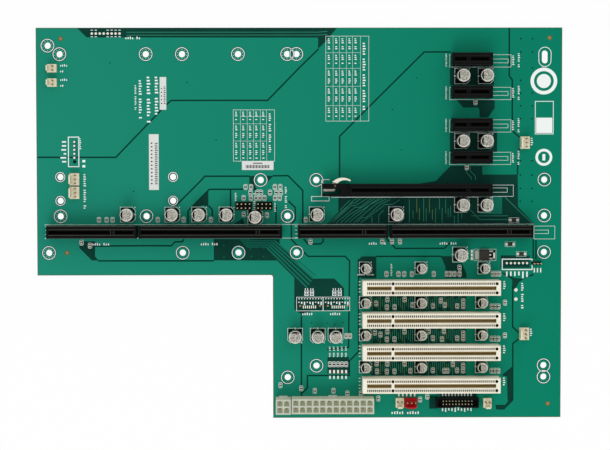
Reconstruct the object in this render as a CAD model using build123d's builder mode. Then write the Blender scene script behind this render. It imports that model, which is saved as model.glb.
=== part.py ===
from build123d import *
import os

os.makedirs("parts", exist_ok=True)

# A passive backplane: an L-shaped circuit board that carries one long host slot made of
# four connectors in line, an x16 card slot with a retention latch, four x1 card slots,
# four wide card slots, two power sockets, headers, capacitors and small chips.
# Millimetres. +Z is the component side, +X points to the rear edge that the card
# brackets stand at, +Y to the edge beside the first card slot. The origin is under the
# middle of the board, level with the lowest solder tails.

# Slot grid
slot_pitch = 20.32
x1_count = 4
wide_count = 4
rows_x16_to_wide = 3
top_margin = 20.1
bottom_margin = 21.7
host_row_drop = 26.0

# Fine-pitch card connectors (x1, x8 and x16)
fine_pitch = 1.0
fine_ends = 7.0
fine_width = 7.7
fine_height = 11.25
fine_slot_width = 1.8
fine_slot_depth = 8.4
fine_slot_end = 0.9
fine_lead_in = 0.6
fine_key_from_rear = 15.0
fine_key_width = 1.8
fine_key_step = 3.0
contacts_behind_key = 11
contacts_x1 = 18
contacts_x8 = 49
contacts_x16 = 82
fine_rear_margin = 44.65

# Wide card connectors
wide_pitch = 1.27
wide_positions = 62
wide_key_positions = (11, 12)
wide_end_length = 4.2
wide_width = 9.3
wide_height = 13.9
wide_slot_width = 1.9
wide_slot_depth = 10.4
wide_slot_end = 1.4
wide_key_width = 1.8
wide_lead_in = 0.5
wide_rear_margin = 39.6

# Contact strips that line the card slots
contact_thickness = 0.3
contact_height = 6.0
contact_top_drop = 1.6

# Host slot
host_joint_gap = 1.3
host_middle_gap = 10.0
host_rear_margin = 19.2
host_front_margin = 7.2

# Board
board_thickness = 1.6
corner_radius = 1.5
cutout_length = 147.7
cutout_width = 90.2
tail_drop = 1.4
mount_hole_radius = 2.0
slotted_hole_length = 8.1
slotted_hole_width = 3.8

# Power sockets
cell_pitch = 4.2
cell_rows = 2
cell_opening = 3.3
cell_chamfer = 0.8
cell_depth = 9.6
socket_wall = 0.95
socket_height = 12.8
main_columns = 12
aux_columns = 2
latch_bar_width = 5.2
latch_bar_depth = 1.6
latch_bar_height = 3.2
latch_bar_drop = 3.0
power_pin_side = 1.0
power_pin_height = 8.0
pin_hole_clearance = 0.15
socket_from_cutout = 11.6
main_socket_bottom = 4.2
socket_gap = 0.5
aux_socket_drop = 0.3

# Wafer headers, with a locking wall on one side
fan_pin_count = 3
lead_pin_count = 2
wafer_pitch = 2.54
wafer_depth = 5.8
wafer_base = 3.2
wafer_wall = 1.0
wafer_wall_height = 8.4
wafer_wall_side = 1.0
wafer_pin_side = 0.64
wafer_pin_height = 9.8
wafer_pin_from_wall = 3.6

# Boxed and bare pin headers
box_columns = 10
box_pitch = 2.0
box_rows = 2
box_end = 4.3
box_width = 6.2
box_height = 5.6
box_wall = 0.9
box_floor = 1.4
box_key_width = 3.6
box_pin_side = 0.5
box_pin_height = 4.8
header_pitch = 2.54
header_columns = 4
header_rows = 2
header_base = 2.5
header_pin_side = 0.64
header_pin_height = 8.6
jumper_pins = 3
jumper_pitch = 2.0

# Aluminium can capacitors. A can has few flat sides, because it repeats so often.
large_can_radius = 4.0
large_can_height = 10.2
small_can_radius = 3.15
small_can_height = 7.7
can_sides = 12
base_margin = 0.15
base_height = 1.1
base_chamfer = 1.6

# Small surface parts
chip_length = 2.0
chip_width = 1.25
chip_height = 0.8
resistor_height = 0.5
lamp_pitch = 2.53
lamp_count = 5
regulator_length = 6.1
regulator_width = 6.6
regulator_height = 2.3
regulator_chamfer = 0.4
regulator_tab = 2.6
regulator_tab_width = 5.6
regulator_tab_height = 0.5
regulator_lead = 2.6
regulator_lead_width = 0.9
regulator_lead_offset = 2.3
small_body_length = 2.9
small_body_width = 1.6
small_body_height = 1.0
label_thickness = 0.12

# Retention latch
bracket_length = 16.8
bracket_height = 10.0
pivot_from_slot = 8.8
pivot_side_offset = 2.6
pin_radius = 0.6
pin_fit = 0.02
lever_fit = 0.06
lever_height = 3.0
lever_lift = 3.3
slit_clearance = 0.3
slit_behind_pivot = 2.3
fork_behind_pivot = 3.1
fork_width = 3.1
fork_side_offset = 1.9
hub_radius = 1.5
nose_length = 7.0
nose_width = 1.5
tab_reach = 9.4
tab_thickness = 1.6
tab_height = 6.0
tab_gap = 1.5
tab_rise = 1.3

# Places that follow from the sizes above
board_width = top_margin + (x1_count + rows_x16_to_wide + wide_count - 1) * slot_pitch + bottom_margin
long_connector = contacts_x16 * fine_pitch + fine_ends
short_connector = contacts_x8 * fine_pitch + fine_ends
host_half = short_connector + host_joint_gap + long_connector
board_length = host_front_margin + 2 * host_half + host_middle_gap + host_rear_margin
rear = board_length / 2
front = -board_length / 2
top = board_width / 2
bottom = -board_width / 2
surface = tail_drop + board_thickness

x1_rows = [top - top_margin - i * slot_pitch for i in range(x1_count)]
x16_row = top - top_margin - x1_count * slot_pitch
wide_rows = [x16_row - (rows_x16_to_wide + i) * slot_pitch for i in range(wide_count)]
host_row = x16_row - host_row_drop
fine_rear = rear - fine_rear_margin
wide_rear = rear - wide_rear_margin
wide_length = (wide_positions - 1) * wide_pitch + 2 * wide_end_length
wide_front = wide_rear - wide_length
host_rear = rear - host_rear_margin
host_connectors = [
    (host_rear - 2 * host_half - host_middle_gap + short_connector, contacts_x8),
    (host_rear - host_half - host_middle_gap, contacts_x16),
    (host_rear - long_connector - host_joint_gap, contacts_x8),
    (host_rear, contacts_x16),
]

# Mounting holes, by rows that share a height. The front column is measured from the
# front edge and the others from the rear edge.
upper_row = top - 16.4
second_row = top - 93.1
third_row = top - 108.0
middle_row = host_row + 9.7
lower_row = host_row - 13.3
foot_row = bottom + 32.9
last_row = bottom + 25.6
rear_column = rear - 10.8
inner_column = rear - 154.0
left_column = rear - 172.1
cut_column = rear - 166.4
front_column = front + 14.7
edge_column = front + 7.3
mount_holes = [
    (edge_column, top - 11.1),
    (front_column, upper_row),
    (rear - 260.5, upper_row),
    (rear - 237.9, upper_row),
    (rear - 202.9, upper_row),
    (left_column, upper_row),
    (cut_column, upper_row),
    (front_column, second_row),
    (rear - 243.8, second_row),
    (rear - 188.9, second_row - 2.0),
    (inner_column, second_row - 2.0),
    (rear_column, second_row - 2.0),
    (front_column, third_row),
    (rear - 243.8, third_row),
    (front_column, middle_row),
    (rear - 260.5, middle_row),
    (left_column, middle_row),
    (rear_column, middle_row),
    (edge_column, lower_row),
    (rear - 237.9, lower_row),
    (rear - 202.9, lower_row),
    (cut_column, lower_row),
    (rear_column, lower_row),
    (inner_column, foot_row),
    (rear_column, foot_row),
    (left_column, last_row),
    (rear_column, last_row),
]
slotted_hole = (rear_column, top - 18.3)


def grid_points(columns, rows, pitch_x, pitch_y, centre):
    """Points of a centred grid."""
    return [
        (centre[0] + (i - (columns - 1) / 2) * pitch_x, centre[1] + (j - (rows - 1) / 2) * pitch_y)
        for j in range(rows)
        for i in range(columns)
    ]


# Power sockets: centres of the two housings and their pins
main_length = (main_columns - 1) * cell_pitch + cell_opening + 2 * socket_wall
aux_length = (aux_columns - 1) * cell_pitch + cell_opening + 2 * socket_wall
socket_width = (cell_rows - 1) * cell_pitch + cell_opening + 2 * socket_wall
socket_row = bottom + main_socket_bottom + socket_width / 2
cutout_side = front + cutout_length
main_front = cutout_side + socket_from_cutout
main_rear = main_front + main_length
main_centre = (main_front + main_length / 2, socket_row)
aux_centre = (main_front - socket_gap - aux_length / 2, socket_row - aux_socket_drop)
main_pins = grid_points(main_columns, cell_rows, cell_pitch, cell_pitch, main_centre)
aux_pins = grid_points(aux_columns, cell_rows, cell_pitch, cell_pitch, aux_centre)

# Wafer headers: name, centre of the base, number of pins, side of the locking wall. Those
# along the bottom edge follow the main power socket.
wafers = [
    ("fan_header_1", (front + 23.8, second_row - 1.4), fan_pin_count, "front"),
    ("fan_header_2", (front + 23.8, second_row - 9.8), fan_pin_count, "front"),
    ("fan_header_3", (rear - 23.4, x1_rows[2] - 11.2), fan_pin_count, "front"),
    ("fan_header_4", (rear - 23.4, wide_rows[1] - 9.3), fan_pin_count, "front"),
    ("two_pin_header_1", (front + 10.2, top - 25.3), lead_pin_count, "front"),
    ("two_pin_header_2", (front + 10.2, top - 34.2), lead_pin_count, "front"),
    ("two_pin_header_3", (main_rear + 16.65, socket_row + 0.75), lead_pin_count, "bottom"),
    ("two_pin_header_4", (main_rear + 71.85, socket_row + 0.55), lead_pin_count, "bottom"),
    ("red_header", (main_rear + 23.65, socket_row + 0.75), fan_pin_count, "bottom"),
]


def wafer_pins(centre, pins, side):
    """Pin places of a wafer header whose locking wall is on the given side."""
    shift = wafer_pin_from_wall - wafer_depth / 2
    span = [(i - (pins - 1) / 2) * wafer_pitch for i in range(pins)]
    if side == "front":
        return [(centre[0] + shift, centre[1] + s) for s in span]
    return [(centre[0] + s, centre[1] + shift) for s in span]


all_wafer_pins = [p for _, centre, pins, side in wafers for p in wafer_pins(centre, pins, side)]

# Circuit board: outline, mounting holes, and holes for the power and wafer pins
with BuildPart() as circuit_board:
    with BuildSketch(Plane.XY.offset(tail_drop)) as outline:
        with BuildLine():
            Polyline(
                (front, top),
                (rear, top),
                (rear, bottom),
                (cutout_side, bottom),
                (cutout_side, bottom + cutout_width),
                (front, bottom + cutout_width),
                close=True,
            )
        make_face()
        fillet(outline.vertices(), corner_radius)
        with Locations(*mount_holes):
            Circle(mount_hole_radius, mode=Mode.SUBTRACT)
        with Locations(slotted_hole):
            SlotOverall(slotted_hole_length, slotted_hole_width, rotation=90, mode=Mode.SUBTRACT)
        with Locations(*main_pins, *aux_pins):
            Rectangle(power_pin_side + 2 * pin_hole_clearance, power_pin_side + 2 * pin_hole_clearance,
                      mode=Mode.SUBTRACT)
        with Locations(*all_wafer_pins):
            Rectangle(wafer_pin_side + 2 * pin_hole_clearance, wafer_pin_side + 2 * pin_hole_clearance,
                      mode=Mode.SUBTRACT)
    extrude(amount=board_thickness)
circuit_board.part.label = "circuit_board"
export_step(circuit_board.part, "parts/circuit_board.step")


def fine_slot(rear_x, contacts):
    """Front and rear ends of the two slot lengths beside the key of a fine connector."""
    key = rear_x - fine_key_from_rear
    front_contacts = contacts - contacts_behind_key
    front_end = key - fine_key_step / 2 - (front_contacts - 1) * fine_pitch - fine_slot_end
    rear_end = key + fine_key_step / 2 + (contacts_behind_key - 1) * fine_pitch + fine_slot_end
    return (front_end, key - fine_key_width / 2), (key + fine_key_width / 2, rear_end)


def wide_slot():
    """Front and rear ends of the two slot lengths beside the key of a wide connector."""
    first = wide_front + wide_end_length
    key = first + sum(wide_key_positions) / len(wide_key_positions) * wide_pitch
    last = first + (wide_positions - 1) * wide_pitch
    return (first - wide_slot_end, key - wide_key_width / 2), (key + wide_key_width / 2, last + wide_slot_end)


def housing(name, front_x, rear_x, row, width, height, spans, slot_width, slot_depth, lead_in):
    """Card connector housing: a bar with two slot lengths, a key wall and a lead-in chamfer."""
    with BuildPart() as body:
        with BuildSketch(Plane.XY.offset(surface)):
            with Locations(((front_x + rear_x) / 2, row)):
                Rectangle(rear_x - front_x, width)
        extrude(amount=height)
        with BuildSketch(Plane.XY.offset(surface + height)):
            for start, end in spans:
                with Locations(((start + end) / 2, row)):
                    Rectangle(end - start, slot_width)
        extrude(amount=-slot_depth, mode=Mode.SUBTRACT)
        mouth = body.faces().sort_by(Axis.Z)[-1].inner_wires()
        chamfer(mouth.edges(), length=lead_in)
    body.part.label = name
    export_step(body.part, f"parts/{name}.step")


def contact_strips(name, row, height, spans, slot_width):
    """Contacts of a card connector, both sides of each slot length, joined as strips."""
    with BuildPart() as strips:
        with BuildSketch(Plane.XY.offset(surface + height - contact_top_drop - contact_height)):
            for start, end in spans:
                for side in (-1, 1):
                    offset = side * (slot_width - contact_thickness) / 2
                    with Locations(((start + end) / 2, row + offset)):
                        Rectangle(end - start, contact_thickness)
        extrude(amount=contact_height)
    strips.part.label = name
    export_step(strips.part, f"parts/{name}.step")


def fine_connector(prefix, suffix, rear_x, row, contacts):
    """Fine-pitch housing and its contacts."""
    front_x = rear_x - contacts * fine_pitch - fine_ends
    spans = fine_slot(rear_x, contacts)
    housing(f"{prefix}_slot{suffix}", front_x, rear_x, row, fine_width, fine_height, spans,
            fine_slot_width, fine_slot_depth, fine_lead_in)
    contact_strips(f"{prefix}_contacts{suffix}", row, fine_height, spans, fine_slot_width)


for number, row in enumerate(x1_rows, start=1):
    fine_connector("x1", f"_{number}", fine_rear, row, contacts_x1)
fine_connector("x16", "", fine_rear, x16_row, contacts_x16)
for number, (rear_x, contacts) in enumerate(host_connectors, start=1):
    fine_connector("host", f"_{number}", rear_x, host_row, contacts)
for number, row in enumerate(wide_rows, start=1):
    housing(f"wide_slot_{number}", wide_front, wide_rear, row, wide_width, wide_height, wide_slot(),
            wide_slot_width, wide_slot_depth, wide_lead_in)
    contact_strips(f"wide_contacts_{number}", row, wide_height, wide_slot(), wide_slot_width)

# Retention latch at the front end of the x16 slot. A card's tab drops into the fork, and
# the lever's nose lies over it. Pressing the finger tab towards the slot turns the nose away.
bracket_rear = fine_rear - long_connector
pivot = (bracket_rear - pivot_from_slot, x16_row + pivot_side_offset)
bracket_front = bracket_rear - bracket_length
bracket_side = x16_row + fine_width / 2
fork_top = pivot[1] - fork_side_offset
slit_bottom = surface + lever_lift - slit_clearance
slit_height = lever_height + 2 * slit_clearance

with BuildPart() as latch_bracket:
    with BuildSketch(Plane.XY.offset(surface)):
        with Locations(((bracket_front + bracket_rear) / 2, x16_row)):
            Rectangle(bracket_length, fine_width)
        fork_rear = pivot[0] + fork_behind_pivot
        with Locations(((bracket_front + fork_rear) / 2, fork_top - fork_width / 2)):
            Rectangle(fork_rear - bracket_front, fork_width, mode=Mode.SUBTRACT)
    extrude(amount=bracket_height)
    with BuildSketch(Plane.XY.offset(slit_bottom)):
        slit_rear = pivot[0] + slit_behind_pivot
        with Locations(((bracket_front + slit_rear) / 2, (bracket_side + fork_top) / 2)):
            Rectangle(slit_rear - bracket_front, bracket_side - fork_top)
    extrude(amount=slit_height, mode=Mode.SUBTRACT)
    with BuildSketch(Plane.XY.offset(surface)):
        with Locations(pivot):
            Circle(pin_radius + pin_fit)
    extrude(amount=bracket_height, mode=Mode.SUBTRACT)
latch_bracket.part.label = "latch_bracket"
export_step(latch_bracket.part, "parts/latch_bracket.step")

with BuildPart() as latch_pin:
    with BuildSketch(Plane.XY.offset(surface)):
        with Locations(pivot):
            Circle(pin_radius)
    extrude(amount=bracket_height)
latch_pin.part.label = "latch_pin"
export_step(latch_pin.part, "parts/latch_pin.step")

tab_foot = bracket_side - pivot[1]
with BuildPart() as latch_lever:
    with BuildSketch(Plane.XY.offset(surface + lever_lift)):
        with Locations(pivot):
            Circle(hub_radius)
        with BuildLine():
            Polyline(
                (pivot[0] + hub_radius * 0.6, pivot[1] - hub_radius * 0.8),
                (pivot[0] - nose_length, pivot[1] - fork_side_offset - 0.1),
                (pivot[0] - nose_length - 0.3, pivot[1] - fork_side_offset - nose_width * 0.5),
                (pivot[0] - nose_length + 0.4, pivot[1] - fork_side_offset - nose_width),
                (pivot[0] - hub_radius * 0.4, pivot[1] - fork_side_offset - nose_width),
                close=True,
            )
        make_face()
    extrude(amount=lever_height)
    with BuildSketch(Plane.XY.offset(surface + lever_lift)) as finger:
        tip_low = (pivot[0] + tab_reach, pivot[1] + tab_foot + tab_gap)
        tip_high = (pivot[0] + tab_reach + 0.3, pivot[1] + tab_foot + tab_gap + tab_thickness * 0.6)
        heel_low = (pivot[0] + hub_radius * 0.9, pivot[1] + tab_foot + slit_clearance)
        heel_high = (pivot[0] - hub_radius, pivot[1] + tab_foot + tab_gap * 0.9)
        with BuildLine():
            ThreePointArc(
                heel_low,
                (pivot[0] + tab_reach * 0.5, pivot[1] + tab_foot + tab_gap + tab_rise - tab_thickness * 0.35),
                tip_low,
            )
            Line(tip_low, tip_high)
            ThreePointArc(
                tip_high,
                (pivot[0] + tab_reach * 0.5, pivot[1] + tab_foot + tab_gap + tab_rise + tab_thickness * 0.65),
                heel_high,
            )
            Line(heel_high, heel_low)
        make_face()
    extrude(amount=tab_height)
    with BuildSketch(Plane.XY.offset(surface + lever_lift)):
        with BuildLine():
            Polyline(
                (pivot[0] - hub_radius, pivot[1]),
                (pivot[0] + hub_radius, pivot[1]),
                heel_low,
                heel_high,
                close=True,
            )
        make_face()
    extrude(amount=lever_height)
    with BuildSketch(Plane.XY.offset(surface + lever_lift)):
        with Locations(pivot):
            Circle(pin_radius + lever_fit)
    extrude(amount=tab_height, mode=Mode.SUBTRACT)
latch_lever.part.label = "latch_lever"
export_step(latch_lever.part, "parts/latch_lever.step")


def power_socket(name, columns, length, centre):
    """Power socket: two rows of cells, alternate ones with cut corners, and a latch bar."""
    cells = grid_points(columns, cell_rows, cell_pitch, cell_pitch, centre)
    plain = cells[0::2]
    keyed = cells[1::2]
    with BuildPart() as body:
        with BuildSketch(Plane.XY.offset(surface)):
            with Locations(centre):
                Rectangle(length, socket_width)
        extrude(amount=socket_height)
        with BuildSketch(Plane.XY.offset(surface + socket_height)):
            with Locations(*plain):
                Rectangle(cell_opening, cell_opening)
        extrude(amount=-cell_depth, mode=Mode.SUBTRACT)
        with BuildSketch(Plane.XY.offset(surface + socket_height)):
            with BuildSketch(mode=Mode.PRIVATE) as cell:
                square = Rectangle(cell_opening, cell_opening)
                chamfer(square.vertices().sort_by(Axis.Y)[-2:], cell_chamfer)
            with Locations(*keyed):
                add(cell.sketch)
        extrude(amount=-cell_depth, mode=Mode.SUBTRACT)
        with BuildSketch(Plane.XY.offset(surface)):
            with Locations(*cells):
                Rectangle(power_pin_side + 2 * pin_hole_clearance, power_pin_side + 2 * pin_hole_clearance)
        extrude(amount=socket_height, mode=Mode.SUBTRACT)
        bar_top = surface + socket_height - latch_bar_drop
        with BuildSketch(Plane.YZ.offset(centre[0] - latch_bar_width / 2)):
            with BuildLine():
                Polyline(
                    (centre[1] + socket_width / 2, bar_top),
                    (centre[1] + socket_width / 2, bar_top - latch_bar_height),
                    (centre[1] + socket_width / 2 + latch_bar_depth, bar_top - latch_bar_height),
                    close=True,
                )
            make_face()
        extrude(amount=latch_bar_width)
    body.part.label = name
    export_step(body.part, f"parts/{name}.step")


def square_pins(name, places, side, low, high):
    """A group of square pins standing from one height to another."""
    with BuildPart() as pins:
        with BuildSketch(Plane.XY.offset(low)):
            with Locations(*places):
                Rectangle(side, side)
        extrude(amount=high - low)
    pins.part.label = name
    export_step(pins.part, f"parts/{name}.step")


power_socket("main_power_socket", main_columns, main_length, main_centre)
power_socket("aux_power_socket", aux_columns, aux_length, aux_centre)
square_pins("main_power_pins", main_pins, power_pin_side, 0, surface + power_pin_height)
square_pins("aux_power_pins", aux_pins, power_pin_side, 0, surface + power_pin_height)


def wafer_header(name, centre, pins, side):
    """Wafer header: a low base and a locking wall along the front or the bottom side."""
    length = pins * wafer_pitch
    wall_length = length - 2 * wafer_wall_side
    half = wafer_depth / 2
    if side == "front":
        base = (wafer_depth, length)
        wall = (wafer_wall, wall_length)
        wall_centre = (centre[0] - half + wafer_wall / 2, centre[1])
    else:
        base = (length, wafer_depth)
        wall = (wall_length, wafer_wall)
        wall_centre = (centre[0], centre[1] - half + wafer_wall / 2)
    hole = wafer_pin_side + 2 * pin_hole_clearance
    with BuildPart() as body:
        with BuildSketch(Plane.XY.offset(surface)):
            with Locations(centre):
                Rectangle(*base)
        extrude(amount=wafer_base)
        with BuildSketch(Plane.XY.offset(surface + wafer_base)):
            with Locations(wall_centre):
                Rectangle(*wall)
        extrude(amount=wafer_wall_height - wafer_base)
        with BuildSketch(Plane.XY.offset(surface)):
            with Locations(*wafer_pins(centre, pins, side)):
                Rectangle(hole, hole)
        extrude(amount=wafer_base, mode=Mode.SUBTRACT)
    body.part.label = name
    export_step(body.part, f"parts/{name}.step")


for name, centre, pins, side in wafers:
    wafer_header(name, centre, pins, side)
square_pins("wafer_header_pins", all_wafer_pins, wafer_pin_side, 0, surface + wafer_pin_height)

# Boxed header: open-topped box with a key notch in its lower wall, and its pins
box_centre = (main_rear + 52.85, socket_row + 0.95)
box_length = (box_columns - 1) * box_pitch + 2 * box_end
with BuildPart() as box_header:
    with BuildSketch(Plane.XY.offset(surface)):
        with Locations(box_centre):
            Rectangle(box_length, box_width)
    extrude(amount=box_height)
    with BuildSketch(Plane.XY.offset(surface + box_floor)):
        with Locations(box_centre):
            Rectangle(box_length - 2 * box_wall, box_width - 2 * box_wall)
        with Locations((box_centre[0], box_centre[1] - box_width / 2)):
            Rectangle(box_key_width, 2 * box_wall + box_wall)
    extrude(amount=box_height - box_floor, mode=Mode.SUBTRACT)
box_header.part.label = "box_header"
export_step(box_header.part, "parts/box_header.step")
box_pins = grid_points(box_columns, box_rows, box_pitch, box_pitch, box_centre)
square_pins("box_header_pins", box_pins, box_pin_side, surface + box_floor, surface + box_pin_height)

# Bare pin headers: two double-row blocks and one three-pin block
double_centres = [(rear - 199.5, x16_row - 9.9), (rear - 186.6, x16_row - 9.9)]
jumper_centre = (rear - 15.8, wide_rows[0] + 14.8)
with BuildPart() as pin_header_blocks:
    with BuildSketch(Plane.XY.offset(surface)):
        with Locations(*double_centres):
            Rectangle(header_columns * header_pitch, header_rows * header_pitch)
        with Locations(jumper_centre):
            Rectangle(jumper_pins * jumper_pitch, jumper_pitch)
    extrude(amount=header_base)
pin_header_blocks.part.label = "pin_header_blocks"
export_step(pin_header_blocks.part, "parts/pin_header_blocks.step")
bare_pins = [p for c in double_centres
             for p in grid_points(header_columns, header_rows, header_pitch, header_pitch, c)]
bare_pins += grid_points(jumper_pins, 1, jumper_pitch, jumper_pitch, jumper_centre)
square_pins("bare_header_pins", bare_pins, header_pin_side, surface + header_base, surface + header_pin_height)

# Aluminium can capacitors. Each stands beside a slot, so its place follows that slot's row.
x1_cap_columns = (fine_rear - 17.9, fine_rear - 3.2)
large_cans = [(x, x1_rows[i] - slot_pitch / 2) for i in (0, 2) for x in x1_cap_columns]
large_cans += [(x, x16_row - 9.4) for x in x1_cap_columns]
host_can_columns = (-272.2, -244.3, -227.5, -210.3, -153.7, -103.8)
large_cans += [(rear + x, host_row + 10.7) for x in host_can_columns]
large_cans += [(rear - 192.3, host_row + 9.2), (rear - 63.7, host_row - 14.7)]
top_facing_cans = [(wide_front - x, wide_rows[1] - 10.4) for x in (41.93, 27.73, 16.53)]
small_columns = (wide_front + 2.3, wide_front + 37.3)
small_cans = [(x, wide_rows[0] + 11.8) for x in (*small_columns, wide_rear - 9.0)]
small_cans += [(x, row - slot_pitch / 2 + 0.3) for row in wide_rows[:3] for x in (*small_columns, wide_rear - 10.4)]


def capacitor_bases(name, groups, radius):
    """Square bases with two cut corners, on the side away from each can's dark mark."""
    side = 2 * (radius + base_margin)
    with BuildPart() as bases:
        with BuildSketch(Plane.XY.offset(surface)):
            for places, mark_axis in groups:
                with BuildSketch(mode=Mode.PRIVATE) as base:
                    square = Rectangle(side, side)
                    chamfer(square.vertices().sort_by(mark_axis)[-2:], base_chamfer)
                with Locations(*places):
                    add(base.sketch)
        extrude(amount=base_height)
    bases.part.label = name
    export_step(bases.part, f"parts/{name}.step")


def capacitor_cans(name, places, radius, height):
    """Plain cans standing on their bases."""
    with BuildPart() as cans:
        with BuildSketch(Plane.XY.offset(surface + base_height)):
            with Locations(*places):
                RegularPolygon(radius, can_sides)
        extrude(amount=height - base_height)
    cans.part.label = name
    export_step(cans.part, f"parts/{name}.step")


down_axis = Axis((0, 0, 0), (0, -1, 0))
capacitor_bases("large_capacitor_bases", [(large_cans, Axis.X), (top_facing_cans, down_axis)], large_can_radius)
capacitor_cans("large_capacitor_cans", large_cans + top_facing_cans, large_can_radius, large_can_height)
capacitor_bases("small_capacitor_bases", [(small_cans, Axis.X)], small_can_radius)
capacitor_cans("small_capacitor_cans", small_cans, small_can_radius, small_can_height)

# Small chips between the wide slots: distance behind the slots' front end or rear end, and
# distance below the slot's middle. The first two lists repeat in each of the three gaps.
front_chips = [(16.1, 8.0), (15.8, 12.9), (20.6, 12.8), (27.0, 8.0), (44.8, 12.2), (60.1, 12.3)]
rear_chips = [(-21.9, 9.2), (-21.9, 12.4), (-4.0, 12.6), (-1.9, 12.6), (0.2, 12.6)]
front_extras = [
    [(9.0, 10.5), (31.9, 11.5), (49.7, 8.8), (52.3, 11.6)],
    [(8.3, 8.6), (11.8, 9.8), (42.2, 7.9), (51.7, 7.8)],
    [(9.4, 7.8), (9.6, 12.8), (30.6, 12.5), (52.0, 12.5), (54.0, 12.5), (57.5, 8.4)],
]
upright_chips = [(wide_front + x, wide_rows[i] - y)
                 for i, extras in enumerate(front_extras) for x, y in front_chips + extras]
upright_chips += [(wide_rear + x, row - y) for row in wide_rows[:3] for x, y in rear_chips]
upright_chips += [(wide_rear + 4.3, wide_rows[0] - 10.2), (wide_rear + 4.3, wide_rows[1] - 10.5)]
above_first = (15.5, 23.1, 26.7, 31.6, 45.3, 53.6, 55.7, 58.3, 61.5)
upright_chips += [(wide_front + x, wide_rows[0] + 8.0) for x in above_first]
upright_chips += [(wide_rear + x, wide_rows[0] + 8.0) for x in (-3.4, -1.4, 0.6)]
upright_chips += [(wide_front + 61.5, wide_rows[0] + 12.0), (wide_front + 50.5, wide_rows[1] - 12.8)]
above_host = (-290.3, -285.5, -281.7, -253.4, -237.3, -220.1)
upright_chips += [(rear + x, host_row + 7.4) for x in above_host]
below_host = (-112.6, -106.5, -101.5, -157.7)
upright_chips += [(rear + x, host_row - 6.4) for x in below_host]
upright_chips += [(rear - 301.3, host_row - 6.8), (rear - 296.0, host_row - 8.7)]
upright_chips += [(fine_rear - 9.6, x1_rows[1] - 6.2), (fine_rear - 14.9, x1_rows[3] - 6.2)]
foot_chips = [(4.6, 20.6), (17.7, 18.6), (26.2, 17.0), (38.0, 17.0), (46.8, 15.3), (55.3, 15.3)]
upright_chips += [(cutout_side + x, bottom + y) for x, y in foot_chips]
upright_chips += [(wide_front + x, wide_rows[1] - 10.7) for x in (-9.83, -7.43)]
with BuildPart() as chip_capacitors:
    with BuildSketch(Plane.XY.offset(surface)):
        with Locations(*upright_chips):
            Rectangle(chip_width, chip_length)
    extrude(amount=chip_height)
chip_capacitors.part.label = "chip_capacitors"
export_step(chip_capacitors.part, "parts/chip_capacitors.step")

# Chip resistors: the group above the two double-row headers, and one under each lamp
cluster = [(-198.4, 1.9), (-194.9, 1.9), (-180.0, 1.9), (-176.6, 1.9), (-195.3, -1.6), (-191.0, -1.6),
           (-188.7, -1.6), (-183.0, -1.6), (-179.0, -1.6), (-176.2, -1.6), (-199.6, -5.0), (-195.0, -5.0),
           (-191.8, -5.0), (-189.4, -5.0), (-186.6, -5.0), (-179.9, -5.0), (-177.0, -5.0)]
lamp_columns = [wide_front - 20.03 + i * lamp_pitch for i in range(lamp_count)]
lamp_row = foot_row - 3.7
with BuildPart() as chip_resistors:
    with BuildSketch(Plane.XY.offset(surface)):
        with Locations(*[(rear + x, x16_row + y) for x, y in cluster]):
            Rectangle(chip_width, chip_length)
        with Locations(*[(x, lamp_row + 4.6) for x in lamp_columns]):
            Rectangle(chip_width, chip_length)
    extrude(amount=resistor_height)
chip_resistors.part.label = "chip_resistors"
export_step(chip_resistors.part, "parts/chip_resistors.step")

with BuildPart() as indicator_lamps:
    with BuildSketch(Plane.XY.offset(surface)):
        with Locations(*[(x, lamp_row) for x in lamp_columns]):
            Rectangle(chip_width, chip_length)
    extrude(amount=chip_height)
indicator_lamps.part.label = "indicator_lamps"
export_step(indicator_lamps.part, "parts/indicator_lamps.step")

# Voltage regulator: a metal tab under and beside a moulded body, and two leads
regulator_centre = (rear - 48.6, host_row - 15.0)
with BuildPart() as regulator_tab_plate:
    with BuildSketch(Plane.XY.offset(surface)):
        with Locations((regulator_centre[0] - (regulator_length + regulator_tab) / 2, regulator_centre[1])):
            Rectangle(regulator_tab, regulator_tab_width)
        lead_x = regulator_centre[0] + (regulator_length + regulator_lead) / 2
        with Locations(*[(lead_x, regulator_centre[1] + side * regulator_lead_offset) for side in (-1, 1)]):
            Rectangle(regulator_lead, regulator_lead_width)
    extrude(amount=regulator_tab_height)
regulator_tab_plate.part.label = "regulator_leads"
export_step(regulator_tab_plate.part, "parts/regulator_leads.step")
with BuildPart() as regulator_body:
    with BuildSketch(Plane.XY.offset(surface)):
        with Locations(regulator_centre):
            Rectangle(regulator_length, regulator_width)
    extrude(amount=regulator_height)
    chamfer(regulator_body.faces().sort_by(Axis.Z)[-1].edges(), length=regulator_chamfer)
regulator_body.part.label = "regulator_body"
export_step(regulator_body.part, "parts/regulator_body.step")

# Small transistors and a diode beside the host slot's rear end
small_bodies = [(rear - 25.1, host_row - 14.4), (rear - 32.3, host_row - 8.3), (rear - 29.9, host_row + 6.9)]
with BuildPart() as transistors:
    with BuildSketch(Plane.XY.offset(surface)):
        with Locations(*small_bodies):
            Rectangle(small_body_length, small_body_width)
    extrude(amount=small_body_height)
transistors.part.label = "transistors"
export_step(transistors.part, "parts/transistors.step")

# Paper labels: centre, length along X and length along Y
labels = [
    ((front + 73.3, top - 83.8), 6.1, 34.9),
    ((front + 79.2, top - 40.9), 4.1, 20.4),
    ((rear - 190.7, top - 86.1), 19.8, 5.4),
]
with BuildPart() as paper_labels:
    with BuildSketch(Plane.XY.offset(surface)):
        for centre, length, width in labels:
            with Locations(centre):
                Rectangle(length, width)
    extrude(amount=label_thickness)
paper_labels.part.label = "paper_labels"
export_step(paper_labels.part, "parts/paper_labels.step")
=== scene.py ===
import logging
import math
from dataclasses import dataclass
from enum import Enum

import bpy
from mathutils import Matrix, Vector
from mathutils.geometry import tessellate_polygon


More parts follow.
